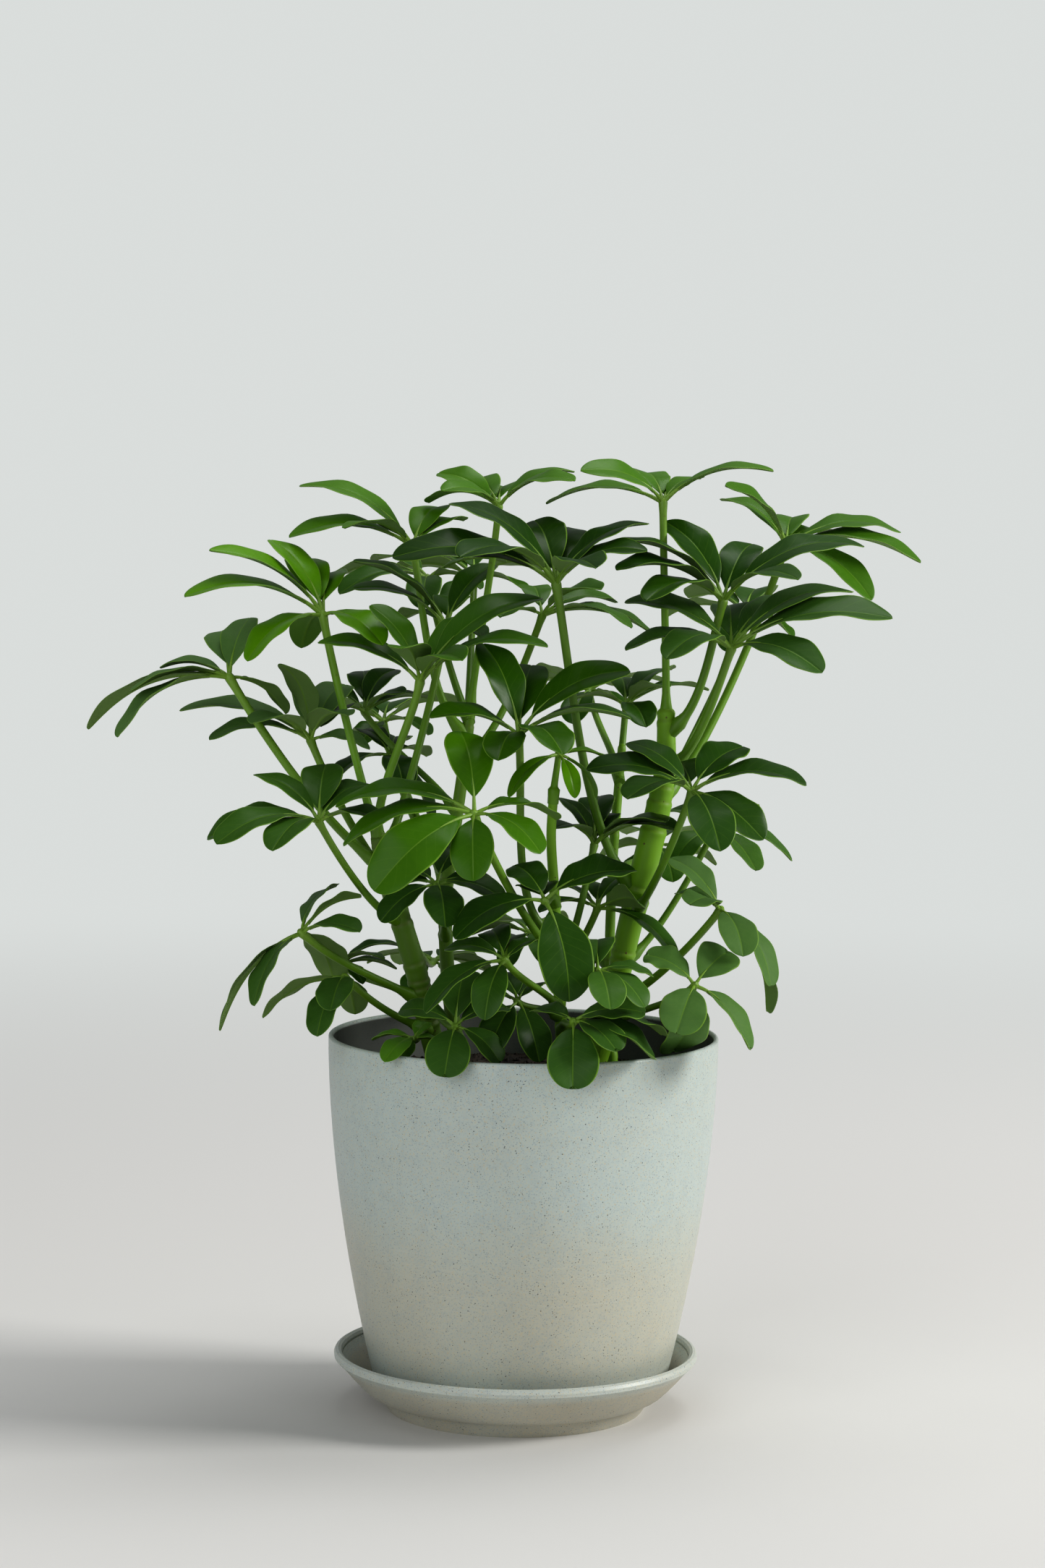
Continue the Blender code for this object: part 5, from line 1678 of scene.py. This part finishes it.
def shine(name, power, place, size, tint):
    """A soft square light, turned to the plant."""
    clear(bpy.data.objects, name)
    light = bpy.data.lights.new(name, "AREA")
    light.shape = "SQUARE"
    light.size = size
    light.energy = power
    light.color = tint
    lamp = bpy.data.objects.new(name, light)
    lamp.location = place
    lamp.rotation_euler = (Vector(LIT_PLACE) - Vector(place)).to_track_quat("-Z", "Y").to_euler()
    bpy.context.scene.collection.objects.link(lamp)


def surround(scene, look):
    """Pale surroundings: a plain backdrop behind the plant that lights it more dimly than it looks."""
    world = bpy.data.worlds.new("pale_surroundings")
    world.use_nodes = True
    world.node_tree.nodes.clear()
    nodes = Nodes(world.node_tree)
    seen = nodes.add("ShaderNodeLightPath", output="Is Camera Ray")
    lighting = [look.sky * part for part in (0.95, 0.98, 1.0)]
    sky = nodes.mix(seen, lighting, look.backdrop)
    background = nodes.add("ShaderNodeBackground", {}, {"Color": sky})
    nodes.add("ShaderNodeOutputWorld", {}, {"Surface": background})
    scene.world = world


class UMBRELLA_OT_stage(bpy.types.Operator):
    """Set up the floor, the lights and the camera"""

    bl_idname = "umbrella_plant.stage"
    bl_label = "Stage"

    def execute(self, context):
        look = context.scene.umbrella_stage
        half = look.floor_size / 2 / MM
        finish = backdrop_finish(look.floor_colour, look.backdrop)
        floor = new_piece("floor", [(-half, -half, 0), (half, -half, 0), (half, half, 0), (-half, half, 0)],
                          [], [(0, 1, 2, 3)], finish, {})
        shine("key", look.key_power, *KEY_LIGHT)
        shine("fill", look.fill_power, *FILL_LIGHT)
        shine("top", look.top_power, *TOP_LIGHT)
        surround(context.scene, look)
        context.scene.view_settings.view_transform = "Standard"
        context.scene.view_settings.look = "Medium High Contrast"
        camera = bpy.data.cameras.new("camera")
        camera.lens = CAMERA_LENS
        camera.sensor_width = CAMERA_SENSOR
        camera.sensor_fit = "AUTO"
        viewer = bpy.data.objects.new("camera", camera)
        viewer.matrix_world = (Matrix.Translation(Vector(CAMERA_PLACE) * MM)
                               @ Matrix.Rotation(math.radians(90.0 - CAMERA_PITCH), 4, "X")
                               @ Matrix.Rotation(math.radians(CAMERA_ROLL), 4, "Z"))
        bpy.context.scene.collection.objects.link(viewer)
        context.scene.camera = viewer
        return {"FINISHED"}


class UMBRELLA_PT_panel(bpy.types.Panel):
    """The plant's settings and the operators that make it"""

    bl_idname = "UMBRELLA_PT_panel"
    bl_label = "Umbrella plant"
    bl_space_type = "VIEW_3D"
    bl_region_type = "UI"
    bl_category = "Umbrella plant"

    def draw(self, context):
        for operators, settings in PANEL_ROWS:
            box = self.layout.box()
            group = getattr(context.scene, settings)
            for key in group.__annotations__:
                box.prop(group, key)
            for operator in operators:
                box.operator(operator.bl_idname)


SETTINGS = {
    "umbrella_glaze": GlazeSettings,
    "umbrella_soil": SoilSettings,
    "umbrella_stems": StemSettings,
    "umbrella_leaves": LeafSettings,
    "umbrella_stage": StageSettings,
}
PANEL_ROWS = (
    ((UMBRELLA_OT_pot, UMBRELLA_OT_saucer), "umbrella_glaze"),
    ((UMBRELLA_OT_soil,), "umbrella_soil"),
    ((UMBRELLA_OT_stems,), "umbrella_stems"),
    ((UMBRELLA_OT_leaves,), "umbrella_leaves"),
    ((UMBRELLA_OT_stage,), "umbrella_stage"),
)
OPERATORS = [operator for operators, _ in PANEL_ROWS for operator in operators]


def register():
    for each in (*SETTINGS.values(), *OPERATORS, UMBRELLA_PT_panel):
        bpy.utils.register_class(each)
    for name, group in SETTINGS.items():
        setattr(bpy.types.Scene, name, PointerProperty(type=group))


def unregister():
    for name in SETTINGS:
        delattr(bpy.types.Scene, name)
    for each in (UMBRELLA_PT_panel, *OPERATORS[::-1], *reversed(SETTINGS.values())):
        bpy.utils.unregister_class(each)


def main():
    """Make every piece and the stage."""
    register()
    bpy.ops.umbrella_plant.pot()
    bpy.ops.umbrella_plant.saucer()
    bpy.ops.umbrella_plant.soil()
    bpy.ops.umbrella_plant.stems()
    bpy.ops.umbrella_plant.leaves()
    bpy.ops.umbrella_plant.stage()


if __name__ == "__main__":
    main()
